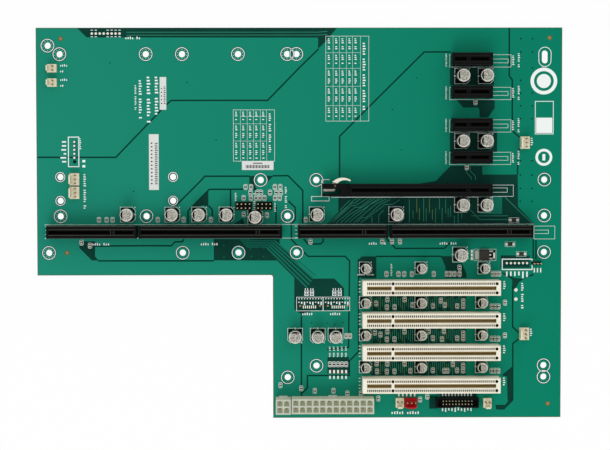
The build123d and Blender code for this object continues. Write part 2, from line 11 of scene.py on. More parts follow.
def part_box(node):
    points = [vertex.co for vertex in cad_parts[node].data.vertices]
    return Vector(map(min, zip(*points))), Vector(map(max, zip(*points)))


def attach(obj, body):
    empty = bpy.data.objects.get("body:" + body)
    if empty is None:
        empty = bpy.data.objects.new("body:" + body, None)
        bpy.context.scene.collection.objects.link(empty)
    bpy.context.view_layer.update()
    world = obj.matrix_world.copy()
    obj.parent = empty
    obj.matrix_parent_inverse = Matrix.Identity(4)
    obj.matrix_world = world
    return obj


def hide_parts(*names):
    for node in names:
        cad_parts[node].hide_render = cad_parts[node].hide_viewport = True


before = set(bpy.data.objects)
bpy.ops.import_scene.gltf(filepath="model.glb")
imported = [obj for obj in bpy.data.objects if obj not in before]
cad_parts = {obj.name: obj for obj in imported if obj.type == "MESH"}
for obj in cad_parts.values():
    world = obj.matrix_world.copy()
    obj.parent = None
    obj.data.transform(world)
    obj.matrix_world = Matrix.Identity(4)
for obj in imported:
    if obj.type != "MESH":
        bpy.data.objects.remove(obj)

MM = 0.001
ROOT = "backplane"
SURFACE = 3.0
UNDERSIDE = 1.4

log = logging.getLogger("backplane")
Point = tuple[float, float]
Place = tuple[float, float, float, float]


# Plain helpers


class Layer(Enum):
    """What lies on the board, as the height of its top over the mask, in mm."""

    GAP = 0.022
    TRACE = 0.034
    PAD = 0.046
    INK = 0.058
    MARK = 0.070


def tone(red: int, green: int, blue: int) -> tuple[float, float, float, float]:
    """Turn a screen colour of 0 to 255 into linear light.

    Args:
        red: Red part.
        green: Green part.
        blue: Blue part.

    Returns:
        The linear colour with an alpha of one.
    """
    values = []
    for part in (red, green, blue):
        share = part / 255.0
        if share <= 0.04045:
            values.append(share / 12.92)
        else:
            values.append(((share + 0.055) / 1.055) ** 2.4)
    return (values[0], values[1], values[2], 1.0)


@dataclass(frozen=True)
class Box:
    """A piece's lowest and highest corner, in mm."""

    x0: float
    x1: float
    y0: float
    y1: float
    z0: float
    z1: float

    @property
    def x(self) -> float:
        """Middle along X."""
        return (self.x0 + self.x1) / 2

    @property
    def y(self) -> float:
        """Middle along Y."""
        return (self.y0 + self.y1) / 2

    @property
    def wide(self) -> float:
        """Size along X."""
        return self.x1 - self.x0

    @property
    def deep(self) -> float:
        """Size along Y."""
        return self.y1 - self.y0


def node_box(node: str) -> Box:
    """Give a CAD node's box.

    Args:
        node: The node's name.

    Returns:
        Its box in mm.
    """
    low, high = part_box(node)
    return Box(low.x / MM, high.x / MM, low.y / MM, high.y / MM, low.z / MM, high.z / MM)


def node_solids(node: str) -> list[Box]:
    """Give the box of each separate solid in a CAD node.

    Args:
        node: The node's name.

    Returns:
        The boxes in mm, from left to right.
    """
    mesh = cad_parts[node].data
    keys = [tuple(round(part * 1e6) for part in vertex.co) for vertex in mesh.vertices]
    leader = {key: key for key in keys}

    def find(key: tuple[int, ...]) -> tuple[int, ...]:
        """Follow a corner to the corner that leads its solid."""
        while leader[key] != key:
            leader[key] = leader[leader[key]]
            key = leader[key]
        return key

    for polygon in mesh.polygons:
        first = find(keys[polygon.vertices[0]])
        for index in polygon.vertices[1:]:
            leader[find(keys[index])] = first
    groups: dict[tuple[int, ...], list[tuple[int, ...]]] = {}
    for key in leader:
        groups.setdefault(find(key), []).append(key)
    boxes = []
    for members in groups.values():
        spans = [(min(part) / 1000, max(part) / 1000) for part in zip(*members)]
        boxes.append(Box(*spans[0], *spans[1], *spans[2]))
    return sorted(boxes, key=lambda box: (round(box.x, 2), box.y))


class Sketch:
    """Collects closed shapes in mm and makes one mesh piece of them."""

    def __init__(self) -> None:
        """Start with nothing."""
        self.corners: list[tuple[float, float, float]] = []
        self.faces: list[list[int]] = []
        self.kinds: list[int] = []
        self.kind = 0

    def add(self, corners: list[tuple[float, float, float]], faces: list[list[int]]) -> None:
        """Add corners and the faces between them.

        Args:
            corners: New corners in mm.
            faces: Faces, counted from the first new corner.
        """
        start = len(self.corners)
        self.corners.extend(corners)
        self.faces.extend([[start + index for index in face] for face in faces])
        self.kinds.extend([self.kind] * len(faces))

    def prism(self, outline: list[Point], z0: float, z1: float, top: list[Point] | None = None) -> None:
        """Add an upright prism.

        Args:
            outline: Its outline, in either turning sense.
            z0: Height of its foot.
            z1: Height of its top.
            top: Another outline for the top, with as many corners.
        """
        upper = top or outline
        area = sum(a[0] * b[1] - b[0] * a[1] for a, b in zip(outline, outline[1:] + outline[:1]))
        if area < 0:
            outline = outline[::-1]
            upper = upper[::-1]
        count = len(outline)
        corners = [(x, y, z0) for x, y in outline] + [(x, y, z1) for x, y in upper]
        faces = [list(range(count))[::-1], list(range(count, 2 * count))]
        for index in range(count):
            after = (index + 1) % count
            faces.append([index, after, count + after, count + index])
        self.add(corners, faces)

    def plate(self, outline: list[Point], holes: list[list[Point]], z0: float, z1: float) -> None:
        """Add a flat plate with holes.

        Args:
            outline: Its outline.
            holes: The outline of each hole.
            z0: Height of its foot.
            z1: Height of its top.
        """
        loops = [outline] + holes
        flat = [point for loop in loops for point in loop]
        count = len(flat)
        corners = [(x, y, z0) for x, y in flat] + [(x, y, z1) for x, y in flat]
        faces = []
        for triangle in tessellate_polygon([[Vector((x, y, 0)) for x, y in loop] for loop in loops]):
            a, b, c = (Vector(flat[index]) for index in triangle)
            way = (b - a).x * (c - a).y - (b - a).y * (c - a).x
            up = list(triangle) if way > 0 else list(triangle)[::-1]
            faces.append([count + index for index in up])
            faces.append(up[::-1])
        first = 0
        for number, loop in enumerate(loops):
            area = sum(a[0] * b[1] - b[0] * a[1] for a, b in zip(loop, loop[1:] + loop[:1]))
            along = (area > 0) == (number == 0)
            for index in range(len(loop)):
                a, b = first + index, first + (index + 1) % len(loop)
                faces.append([a, b, count + b, count + a] if along else [b, a, count + a, count + b])
            first += len(loop)
        self.add(corners, faces)

    def block(self, x0: float, x1: float, y0: float, y1: float, z0: float, z1: float, bevel: float = 0.0) -> None:
        """Add a box, with its upper edges cut back by a bevel."""
        x0, x1 = min(x0, x1), max(x0, x1)
        y0, y1 = min(y0, y1), max(y0, y1)
        outline = [(x0, y0), (x1, y0), (x1, y1), (x0, y1)]
        if not bevel:
            self.prism(outline, z0, z1)
            return
        inner = [(x0 + bevel, y0 + bevel), (x1 - bevel, y0 + bevel), (x1 - bevel, y1 - bevel), (x0 + bevel, y1 - bevel)]
        corners = [(x, y, z0) for x, y in outline] + [(x, y, z1 - bevel) for x, y in outline]
        corners += [(x, y, z1) for x, y in inner]
        faces = [[3, 2, 1, 0], [8, 9, 10, 11]]
        for index in range(4):
            after = (index + 1) % 4
            faces.append([index, after, 4 + after, 4 + index])
            faces.append([4 + index, 4 + after, 8 + after, 8 + index])
        self.add(corners, faces)

    def strip(self, path: list[Point], width: float, z0: float, z1: float, closed: bool = False) -> None:
        """Add a flat line of constant width along a path.

        Args:
            path: The line's middle.
            width: Its width.
            z0: Height of its foot.
            z1: Height of its top.
            closed: Whether the end joins the start.
        """
        count = len(path)
        left, right = [], []
        for index, (x, y) in enumerate(path):
            before = path[index - 1] if (index or closed) else None
            after = path[(index + 1) % count] if (index < count - 1 or closed) else None
            ways = []
            for a, b in ((before, (x, y)), ((x, y), after)):
                if a is not None and b is not None:
                    length = math.hypot(b[0] - a[0], b[1] - a[1]) or 1.0
                    ways.append(((b[0] - a[0]) / length, (b[1] - a[1]) / length))
            way = (sum(w[0] for w in ways), sum(w[1] for w in ways))
            size = math.hypot(*way) or 1.0
            side = (-way[1] / size, way[0] / size)
            cosine = max(0.35, side[0] * -ways[0][1] + side[1] * ways[0][0])
            reach = width / 2 / cosine
            left.append((x + side[0] * reach, y + side[1] * reach))
            right.append((x - side[0] * reach, y - side[1] * reach))
        if not closed:
            self.prism(right + left[::-1], z0, z1)
            return
        for index in range(count):
            after = (index + 1) % count
            self.prism([right[index], right[after], left[after], left[index]], z0, z1)

    def disc(self, x: float, y: float, radius: float, z0: float, z1: float, sides: int = 20) -> None:
        """Add a round flat piece."""
        self.prism(circle(x, y, radius, sides), z0, z1)

    def ring(self, x: float, y: float, inner: float, outer: float, z0: float, z1: float, sides: int = 32) -> None:
        """Add a flat ring."""
        rings = [(inner, z0), (outer, z0), (outer, z1), (inner, z1)]
        self.lathe(x, y, rings + rings[:1], sides)

    def lathe(self, x: float, y: float, profile: list[Point], sides: int = 32) -> None:
        """Add a turned shape.

        Args:
            x: Place of its axis along X.
            y: Place of its axis along Y.
            profile: Radius and height pairs, going up on the outside; a ring's profile ends where it starts.
            sides: Number of sides.
        """
        looped = profile[0] == profile[-1]
        rows = profile[:-1] if looped else profile
        corners = []
        for radius, height in rows:
            for index in range(sides):
                angle = 2 * math.pi * index / sides
                corners.append((x + radius * math.cos(angle), y + radius * math.sin(angle), height))
        faces = []
        for row in range(len(rows) if looped else len(rows) - 1):
            upper = (row + 1) % len(rows)
            for index in range(sides):
                after = (index + 1) % sides
                faces.append([row * sides + index, row * sides + after, upper * sides + after, upper * sides + index])
        if not looped:
            faces.append(list(range(sides))[::-1])
            faces.append(list(range((len(rows) - 1) * sides, len(rows) * sides)))
        self.add(corners, faces)

    def mesh(self, name: str) -> bpy.types.Mesh:
        """Make the mesh, in metres."""
        mesh = bpy.data.meshes.new(name)
        mesh.from_pydata([(x * MM, y * MM, z * MM) for x, y, z in self.corners], [], self.faces)
        mesh.polygons.foreach_set("material_index", self.kinds)
        mesh.update()
        return mesh

    def piece(self, name: str, *finishes: "Finish", body: str = ROOT, slot: str | None = None) -> bpy.types.Object:
        """Make the piece and let it ride on its body.

        Args:
            name: The piece's name.
            finishes: One finish for each kind of face.
            body: The CAD body that carries it.
            slot: Not used.

        Returns:
            The new object.
        """
        obj = bpy.data.objects.new(name, self.mesh(name))
        bpy.context.scene.collection.objects.link(obj)
        for finish in finishes:
            obj.data.materials.append(finish.material())
        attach(obj, body)
        log.info("%s: %d faces", name, len(obj.data.polygons))
        return obj


def circle(x: float, y: float, radius: float, sides: int = 20) -> list[Point]:
    """Give the corners of a round outline."""
    turns = [2 * math.pi * index / sides for index in range(sides)]
    return [(x + radius * math.cos(turn), y + radius * math.sin(turn)) for turn in turns]


def inside(outline: list[Point], x: float, y: float, reach: float) -> bool:
    """Say whether a round hole lies wholly inside an outline.

    Args:
        outline: The outline.
        x: Middle of the hole along X.
        y: Middle of the hole along Y.
        reach: The hole's radius with its margin.

    Returns:
        True where the hole's middle and four points of its rim are inside.
    """
    for px, py in [(x, y), (x + reach, y), (x - reach, y), (x, y + reach), (x, y - reach)]:
        crossings = 0
        for (ax, ay), (bx, by) in zip(outline, outline[1:] + outline[:1]):
            if (ay > py) != (by > py) and px < (bx - ax) * (py - ay) / (by - ay) + ax:
                crossings += 1
        if crossings % 2 == 0:
            return False
    return True


def rectangle(x0: float, y0: float, x1: float, y1: float) -> list[Point]:
    """Give the corners of a rectangle."""
    return [(x0, y0), (x1, y0), (x1, y1), (x0, y1)]


# Finishes


@dataclass(frozen=True)
class Finish:
    """A surface: colour, gloss and a fine unevenness, all on Object coordinates."""

    name: str
    colour: tuple[int, int, int]
    roughness: float = 0.5
    metallic: float = 0.0
    specular: float = 0.03
    second: tuple[int, int, int] | None = None
    grain: float = 900.0
    bump: float = 0.0
    stretch: tuple[float, float, float] = (1.0, 1.0, 1.0)
    glow: float = 0.0

    def material(self) -> bpy.types.Material:
        """Build the material once, and give the same one after that.

        Returns:
            The material.
        """
        known = bpy.data.materials.get(self.name)
        if known is not None:
            return known
        material = bpy.data.materials.new(self.name)
        material.use_nodes = True
        tree = material.node_tree
        shader = tree.nodes["Principled BSDF"]
        shader.inputs["Base Color"].default_value = tone(*self.colour)
        shader.inputs["Roughness"].default_value = self.roughness
        shader.inputs["Metallic"].default_value = self.metallic
        shader.inputs["Specular IOR Level"].default_value = self.specular
        if self.glow:
            shader.inputs["Emission Color"].default_value = tone(*self.colour)
            shader.inputs["Emission Strength"].default_value = self.glow
        if self.second or self.bump:
            self.unevenness(tree, shader)
        return material

    def unevenness(self, tree: bpy.types.NodeTree, shader: bpy.types.Node) -> None:
        """Add the second colour and the bump from one noise.

        Args:
            tree: The material's nodes.
            shader: Its shader.
        """
        place = tree.nodes.new("ShaderNodeTexCoord")
        mapping = tree.nodes.new("ShaderNodeMapping")
        mapping.inputs["Scale"].default_value = self.stretch
        noise = tree.nodes.new("ShaderNodeTexNoise")
        noise.inputs["Scale"].default_value = self.grain
        noise.inputs["Detail"].default_value = 3.0
        tree.links.new(place.outputs["Object"], mapping.inputs["Vector"])
        tree.links.new(mapping.outputs["Vector"], noise.inputs["Vector"])
        if self.second:
            ramp = tree.nodes.new("ShaderNodeValToRGB")
            ramp.color_ramp.elements[0].position = 0.35
            ramp.color_ramp.elements[0].color = tone(*self.colour)
            ramp.color_ramp.elements[1].position = 0.65
            ramp.color_ramp.elements[1].color = tone(*self.second)
            tree.links.new(noise.outputs["Fac"], ramp.inputs["Fac"])
            tree.links.new(ramp.outputs["Color"], shader.inputs["Base Color"])
        if self.bump:
            bump = tree.nodes.new("ShaderNodeBump")
            bump.inputs["Strength"].default_value = self.bump
            bump.inputs["Distance"].default_value = 0.0002
            tree.links.new(noise.outputs["Fac"], bump.inputs["Height"])
            tree.links.new(bump.outputs["Normal"], shader.inputs["Normal"])


@dataclass(frozen=True)
class MaskFinish(Finish):
    """Solder mask over copper: its green falls off slowly across the board."""

    corner: tuple[int, int, int] = (30, 137, 114)
    far: tuple[int, int, int] = (6, 126, 99)
    low: tuple[int, int, int] = (34, 140, 118)

    def material(self) -> bpy.types.Material:
        """Build the plain material, then lay the slow change of colour over it.

        Returns:
            The material.
        """
        known = bpy.data.materials.get(self.name)
        if known is not None:
            return known
        material = super().material()
        tree = material.node_tree
        shader = tree.nodes["Principled BSDF"]
        place = tree.nodes.new("ShaderNodeTexCoord")
        parts = tree.nodes.new("ShaderNodeSeparateXYZ")
        tree.links.new(place.outputs["Object"], parts.inputs["Vector"])
        shares = []
        for axis, reach in (("X", 0.1645), ("Y", 0.1225)):
            span = tree.nodes.new("ShaderNodeMapRange")
            span.inputs["From Min"].default_value = -reach
            span.inputs["From Max"].default_value = reach
            tree.links.new(parts.outputs[axis], span.inputs["Value"])
            shares.append(span.outputs["Result"])
        noise = tree.nodes.new("ShaderNodeTexNoise")
        noise.inputs["Scale"].default_value = 28.0
        noise.inputs["Detail"].default_value = 4.0
        tree.links.new(place.outputs["Object"], noise.inputs["Vector"])
        upright = self.blend_of(tree, shares[1], tone(*self.low), tone(*self.corner))
        across = self.blend_of(tree, shares[0], upright, tone(*self.far))
        soft = tree.nodes.new("ShaderNodeMapRange")
        soft.inputs["To Min"].default_value = 0.0
        soft.inputs["To Max"].default_value = 0.22
        tree.links.new(noise.outputs["Fac"], soft.inputs["Value"])
        mixed = self.blend_of(tree, soft.outputs["Result"], across, tone(*self.colour))
        tree.links.new(mixed, shader.inputs["Base Color"])
        return material

    @staticmethod
    def blend_of(tree: bpy.types.NodeTree, share: object, first: object, second: object) -> object:
        """Mix two colours.

        Args:
            tree: The material's nodes.
            share: The socket that says how much of the second.
            first: A socket or a plain colour.
            second: A socket or a plain colour.

        Returns:
            The socket with the mixed colour.
        """
        mix = tree.nodes.new("ShaderNodeMix")
        mix.data_type = "RGBA"
        tree.links.new(share, mix.inputs["Factor"])
        for name, value in (("A", first), ("B", second)):
            socket = [s for s in mix.inputs if s.name == name and s.type == "RGBA"][0]
            if isinstance(value, tuple):
                socket.default_value = value
            else:
                tree.links.new(value, socket)
        return [s for s in mix.outputs if s.type == "RGBA"][0]


MASK = MaskFinish("solder_mask", (14, 135, 109), roughness=0.42)
GAP = Finish("mask_over_bare_laminate", (10, 58, 48), roughness=0.45, second=(12, 64, 53), grain=60)
GAP_LINE = Finish("copper_gap_line", (4, 58, 46), roughness=0.45)
TRACE = Finish("mask_over_trace", (58, 146, 122), roughness=0.4)
BROAD_TRACE = Finish("mask_over_broad_trace", (20, 112, 92), roughness=0.4)
BARE_TRACE = Finish("thinly_covered_trace", (112, 138, 84), roughness=0.4)
LAMINATE = Finish("laminate_edge", (120, 150, 108), roughness=0.75, second=(96, 132, 96), grain=2500)
INK = Finish("white_ink", (244, 250, 247), roughness=0.7)
TIN = Finish("tinned_pad", (236, 236, 224), roughness=0.4, metallic=0.15)
COPPER = Finish("bare_copper", (186, 134, 96), roughness=0.4, metallic=0.4)
GOLD = Finish("plated_contact", (150, 122, 66), roughness=0.34, metallic=0.8)
BLACK = Finish("moulded_black", (12, 13, 13), roughness=0.5, specular=0.05, second=(17, 19, 18), grain=500)
# Lighter black for the ridges of the host connectors: painted sheen.
RIDGE_SHEEN_BLACK = Finish("moulded_black_painted_sheen", (70, 70, 63), roughness=0.4, specular=0.1)
DIM_GOLD = Finish("shaded_contact", (34, 28, 20), roughness=0.5, metallic=0.4)
# Lighter black for the ridges of the other black connectors: painted sheen.
RIDGE_SOFT_SHEEN_BLACK = Finish("moulded_black_soft_painted_sheen", (30, 32, 30), roughness=0.5, specular=0.06)
RIM_MASK = Finish("board_rim", (70, 96, 58), roughness=0.6)
# Dark sheet a little below the top of the ivory connectors' cavity rows: painted shade for their dark inside.
CAVITY_SHADE = Finish("cavity_floor", (18, 15, 11), roughness=0.8)
IVORY = Finish("moulded_ivory", (244, 240, 223), roughness=0.48, second=(238, 233, 214), grain=140)
CREAM = Finish("wafer_nylon", (232, 226, 200), roughness=0.5, second=(224, 217, 188), grain=300)
SOCKET = Finish("power_socket_nylon", (196, 200, 185), roughness=0.5, second=(186, 190, 173), grain=260)
CELL_WALL = Finish("lit_nylon_wall", (164, 168, 148), roughness=0.6, glow=0.36)
CELL_FLOOR = Finish("lit_nylon_floor", (152, 156, 134), roughness=0.6, glow=0.6)
# Brass pins that glow a little: painted light inside the socket cells.
SOCKET_PIN_GLOW = Finish("brass_socket_pin_painted_glow", (148, 144, 104), roughness=0.4, glow=0.3)
RED = Finish("red_nylon", (172, 26, 33), roughness=0.45)
CAN = Finish("capacitor_can", (150, 150, 142), roughness=0.3, metallic=0.9)
# Near-white rolled rim of the aluminium can: painted highlight.
CAN_RIM_HIGHLIGHT = Finish("capacitor_rim_painted_highlight", (222, 221, 210), roughness=0.4, metallic=0.2)
# Black print on the cans; the same black also fills holes as painted shade.
CAN_MARK_AND_HOLE_SHADE = Finish("black_print_and_hole_shade", (14, 14, 15), roughness=0.5)
CAN_TOP = Finish("capacitor_top", (206, 204, 193), roughness=0.5, second=(104, 104, 96), grain=1300)
BASE = Finish("capacitor_base", (12, 13, 12), roughness=0.5)
CHIP = Finish("ceramic_chip", (116, 110, 92), roughness=0.5, second=(98, 92, 76), grain=700)
RESISTOR = Finish("resistor_glaze", (14, 15, 16), roughness=0.35)
LAMP = Finish("lamp_lens", (238, 240, 232), roughness=0.25)
STEEL = Finish("dull_steel", (104, 100, 90), roughness=0.4, metallic=0.7)
PALE_GOLD = Finish("pale_gold_pin", (206, 196, 160), roughness=0.35, metallic=0.3)
WAFER_PIN = Finish("shaded_wafer_pin", (166, 146, 112), roughness=0.4, metallic=0.3)
BARE_RING = Finish("bare_laminate_ring", (104, 106, 62), roughness=0.6)
TAB = Finish("regulator_tab", (176, 182, 170), roughness=0.45, metallic=0.2)
MOULD = Finish("moulded_body", (58, 56, 49), roughness=0.55)
PAPER = Finish("paper_label", (224, 227, 224), roughness=0.8)
PRINT = Finish("label_bars", (60, 62, 62), roughness=0.8)


# Patterns made with Geometry Nodes


class Pattern:
    """Copies one small shape to many places, and leaves a plain mesh."""

    def __init__(self, name: str, finish: Finish, slot: str | None = None, body: str = ROOT) -> None:
        """Keep the name and the looks of the pattern.

        Args:
            name: The finished piece's name.
            finish: Its finish.
            slot: Kept, but nothing reads it.
            body: The CAD body that carries it.
        """
        self.name = name
        self.finish = finish
        self.slot = slot
        self.body = body

    def tree(self, row: bool) -> bpy.types.NodeTree:
        """Build the node tree.

        Args:
            row: Whether the places form one straight row, and aren't given one by one.

        Returns:
            The tree, with its sizes as named inputs.
        """
        tree = bpy.data.node_groups.new(self.name + "_tree", "GeometryNodeTree")
        face = tree.interface
        face.new_socket("Places", in_out="INPUT", socket_type="NodeSocketGeometry")
        face.new_socket("Shape", in_out="INPUT", socket_type="NodeSocketObject")
        if row:
            face.new_socket("Count", in_out="INPUT", socket_type="NodeSocketInt")
            face.new_socket("Start", in_out="INPUT", socket_type="NodeSocketVector")
            face.new_socket("Step", in_out="INPUT", socket_type="NodeSocketVector")
        face.new_socket("Copies", in_out="OUTPUT", socket_type="NodeSocketGeometry")
        entry = tree.nodes.new("NodeGroupInput")
        leave = tree.nodes.new("NodeGroupOutput")
        shape = tree.nodes.new("GeometryNodeObjectInfo")
        copies = tree.nodes.new("GeometryNodeInstanceOnPoints")
        real = tree.nodes.new("GeometryNodeRealizeInstances")
        paint = tree.nodes.new("GeometryNodeSetMaterial")
        paint.inputs["Material"].default_value = self.finish.material()
        tree.links.new(entry.outputs["Shape"], shape.inputs["Object"])
        if row:
            line = tree.nodes.new("GeometryNodeMeshLine")
            tree.links.new(entry.outputs["Count"], line.inputs["Count"])
            tree.links.new(entry.outputs["Start"], line.inputs["Start Location"])
            tree.links.new(entry.outputs["Step"], line.inputs["Offset"])
            tree.links.new(line.outputs["Mesh"], copies.inputs["Points"])
        else:
            turn = tree.nodes.new("GeometryNodeInputNamedAttribute")
            turn.inputs["Name"].default_value = "turn"
            upright = tree.nodes.new("ShaderNodeCombineXYZ")
            tree.links.new(turn.outputs["Attribute"], upright.inputs["Z"])
            tree.links.new(upright.outputs["Vector"], copies.inputs["Rotation"])
            tree.links.new(entry.outputs["Places"], copies.inputs["Points"])
        tree.links.new(shape.outputs["Geometry"], copies.inputs["Instance"])
        tree.links.new(copies.outputs["Instances"], real.inputs["Geometry"])
        tree.links.new(real.outputs["Geometry"], paint.inputs["Geometry"])
        tree.links.new(paint.outputs["Geometry"], leave.inputs["Copies"])
        return tree

    def bake(self, shape: Sketch, points: bpy.types.Mesh, values: dict[str, object]) -> bpy.types.Mesh:
        """Run a tree once and keep its result.

        Args:
            shape: The small shape, drawn round the origin.
            points: A mesh whose corners are the places.
            values: The row's sizes, by input name; empty where the places are given.

        Returns:
            The finished mesh.
        """
        tree = self.tree(bool(values))
        part = bpy.data.objects.new(self.name + "_shape", shape.mesh(self.name + "_shape"))
        holder = bpy.data.objects.new(self.name + "_places", points)
        for obj in (part, holder):
            bpy.context.scene.collection.objects.link(obj)
        modifier = holder.modifiers.new("pattern", "NODES")
        modifier.node_group = tree
        for item in tree.interface.items_tree:
            if item.in_out == "INPUT" and item.name == "Shape":
                modifier[item.identifier] = part
            if item.in_out == "INPUT" and item.name in values:
                modifier[item.identifier] = values[item.name]
        graph = bpy.context.evaluated_depsgraph_get()
        graph.update()
        mesh = bpy.data.meshes.new_from_object(holder.evaluated_get(graph), depsgraph=graph)
        holder.modifiers.remove(modifier)
        for obj in (part, holder):
            bpy.data.objects.remove(obj)
        bpy.data.node_groups.remove(tree)
        return mesh

    def finished(self, mesh: bpy.types.Mesh) -> bpy.types.Object:
        """Make the piece of the baked mesh and let it ride on its body."""
        obj = bpy.data.objects.new(self.name, mesh)
        bpy.context.scene.collection.objects.link(obj)
        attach(obj, self.body)
        log.info("%s: %d faces", self.name, len(mesh.polygons))
        return obj

    def scatter(self, shape: Sketch, places: list[Place]) -> bpy.types.Object:
        """Copy the shape to given places.

        Args:
            shape: The small shape, drawn round the origin.
            places: X, Y, Z in mm and the turn in radians.

        Returns:
            The finished piece.
        """
        points = bpy.data.meshes.new(self.name + "_points")
        points.from_pydata([(x * MM, y * MM, z * MM) for x, y, z, _ in places], [], [])
        turns = points.attributes.new("turn", "FLOAT", "POINT")
        turns.data.foreach_set("value", [place[3] for place in places])
        return self.finished(self.bake(shape, points, {}))

    def row(
        self, shape: Sketch, count: int, start: tuple[float, float, float], step: tuple[float, float, float]
    ) -> bpy.types.Mesh:
        """Copy the shape along one straight row.

        Args:
            shape: The small shape, drawn round the origin.
            count: How many copies.
            start: The first place, in mm.
            step: The way from one place to the next, in mm.

        Returns:
            The baked mesh, to be joined with others or finished.
        """
        values = {
            "Count": count,
            "Start": [value * MM for value in start],
            "Step": [value * MM for value in step],
        }
        return self.bake(shape, bpy.data.meshes.new(self.name + "_points"), values)

    def rows(self, shape: Sketch, runs: list[tuple]) -> bpy.types.Object:
        """Make one piece of several rows.

        Args:
            shape: The small shape, drawn round the origin.
            runs: Count, start and step of each row.

        Returns:
            The finished piece.
        """
        whole = bpy.data.meshes.new(self.name)
        corners: list[Vector] = []
        faces: list[list[int]] = []
        for count, start, step in runs:
            mesh = self.row(shape, count, start, step)
            first = len(corners)
            corners.extend(vertex.co.copy() for vertex in mesh.vertices)
            faces.extend([first + index for index in polygon.vertices] for polygon in mesh.polygons)
            bpy.data.meshes.remove(mesh)
        whole.from_pydata(corners, [], faces)
        whole.materials.append(self.finish.material())
        return self.finished(whole)


# Camera, lamps and floor


@dataclass
class Studio:
    """The photograph's camera, two soft lamps and a pale floor."""

    focal_pixels: float = 1593.26
    frame_pixels: float = 610.0
    sensor: float = 36.0
    turn_x: float = 2.24864
    turn_y: float = 0.49474
    turn_z: float = 0.07774
    shift: tuple[float, float, float] = (-3.3798, 0.8741, -1000.0)
    floor_half: float = 6.0
    world_strength: float = 0.72
    key_power: float = 6.0
    fill_power: float = 1.5

    def build(self) -> None:
        """Make the camera, the lamps, the world and the floor."""
        self.camera()
        self.lamp("key_lamp", (-0.15, -0.95, 1.05), 0.75, self.key_power)
        self.lamp("fill_lamp", (0.55, 0.75, 1.0), 0.9, self.fill_power)
        self.world()
        self.floor()

    def camera(self) -> None:
        """Place the camera as it stood for the photograph."""
        x, y, z = (math.radians(value) for value in (self.turn_x, self.turn_y, self.turn_z))
        turn = Matrix.Rotation(x, 3, "X") @ Matrix.Rotation(y, 3, "Y") @ Matrix.Rotation(z, 3, "Z")
        back = turn.transposed()
        place = -(back @ Vector(self.shift))
        place.z += SURFACE
        data = bpy.data.cameras.new("photo_camera")
        data.sensor_width = self.sensor
        data.lens = self.focal_pixels / self.frame_pixels * self.sensor
        data.clip_start = 0.01
        data.clip_end = 50.0
        camera = bpy.data.objects.new("photo_camera", data)
        bpy.context.scene.collection.objects.link(camera)
        camera.matrix_world = Matrix.Translation(place * MM) @ back.to_4x4()
        bpy.context.scene.camera = camera

    def lamp(self, name: str, place: tuple[float, float, float], size: float, power: float) -> None:
        """Add one square lamp that looks at the board.

        Args:
            name: The lamp's name.
            place: Where it stands, in metres.
            size: Its side.
            power: Its power in watts.
        """
        data = bpy.data.lights.new(name, "AREA")
        data.size = size
        data.energy = power
        lamp = bpy.data.objects.new(name, data)
        bpy.context.scene.collection.objects.link(lamp)
        lamp.location = place
        lamp.rotation_mode = "QUATERNION"
        lamp.rotation_quaternion = (-Vector(place)).to_track_quat("-Z", "Y")

    def world(self) -> None:
        """Light the scene evenly from all round, white where the camera sees it."""
        world = bpy.data.worlds.new("pale_world")
        bpy.context.scene.world = world
        world.use_nodes = True
        tree = world.node_tree
        tree.nodes.clear()
        seen = tree.nodes.new("ShaderNodeBackground")
        seen.inputs["Strength"].default_value = 1.0
        seen.inputs["Color"].default_value = (1, 1, 1, 1)
        light = tree.nodes.new("ShaderNodeBackground")
        light.inputs["Strength"].default_value = self.world_strength
        light.inputs["Color"].default_value = (1, 1, 1, 1)
        rays = tree.nodes.new("ShaderNodeLightPath")
        mix = tree.nodes.new("ShaderNodeMixShader")
        out = tree.nodes.new("ShaderNodeOutputWorld")
        tree.links.new(rays.outputs["Is Camera Ray"], mix.inputs["Fac"])
        tree.links.new(light.outputs["Background"], mix.inputs[1])
        tree.links.new(seen.outputs["Background"], mix.inputs[2])
        tree.links.new(mix.outputs["Shader"], out.inputs["Surface"])

    def floor(self) -> None:
        """Add the floor: white to the camera, and it keeps the object's shadow."""
        half = self.floor_half
        mesh = bpy.data.meshes.new("floor")
        mesh.from_pydata([(-half, -half, 0), (half, -half, 0), (half, half, 0), (-half, half, 0)], [], [[0, 1, 2, 3]])
        floor = bpy.data.objects.new("floor", mesh)
        bpy.context.scene.collection.objects.link(floor)
        material = bpy.data.materials.new("floor_white")
        material.use_nodes = True
        tree = material.node_tree
        tree.nodes.clear()
        dull = tree.nodes.new("ShaderNodeBsdfDiffuse")
        dull.inputs["Color"].default_value = (0.86, 0.86, 0.86, 1)
        bright = tree.nodes.new("ShaderNodeEmission")
        bright.inputs["Strength"].default_value = 1.0
        rays = tree.nodes.new("ShaderNodeLightPath")
        share = tree.nodes.new("ShaderNodeMath")
        share.operation = "MULTIPLY"
        share.inputs[1].default_value = 0.95
        mix = tree.nodes.new("ShaderNodeMixShader")
        out = tree.nodes.new("ShaderNodeOutputMaterial")
        tree.links.new(rays.outputs["Is Camera Ray"], share.inputs[0])
        tree.links.new(share.outputs["Value"], mix.inputs["Fac"])
        tree.links.new(dull.outputs["BSDF"], mix.inputs[1])
        tree.links.new(bright.outputs["Emission"], mix.inputs[2])
        tree.links.new(mix.outputs["Shader"], out.inputs["Surface"])
        mesh.materials.append(material)


def dress(node: str, finish: Finish) -> None:
    """Give a CAD node its finish."""
    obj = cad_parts[node]
    obj.data.materials.clear()
    obj.data.materials.append(finish.material())


# Board, copper fields and ink


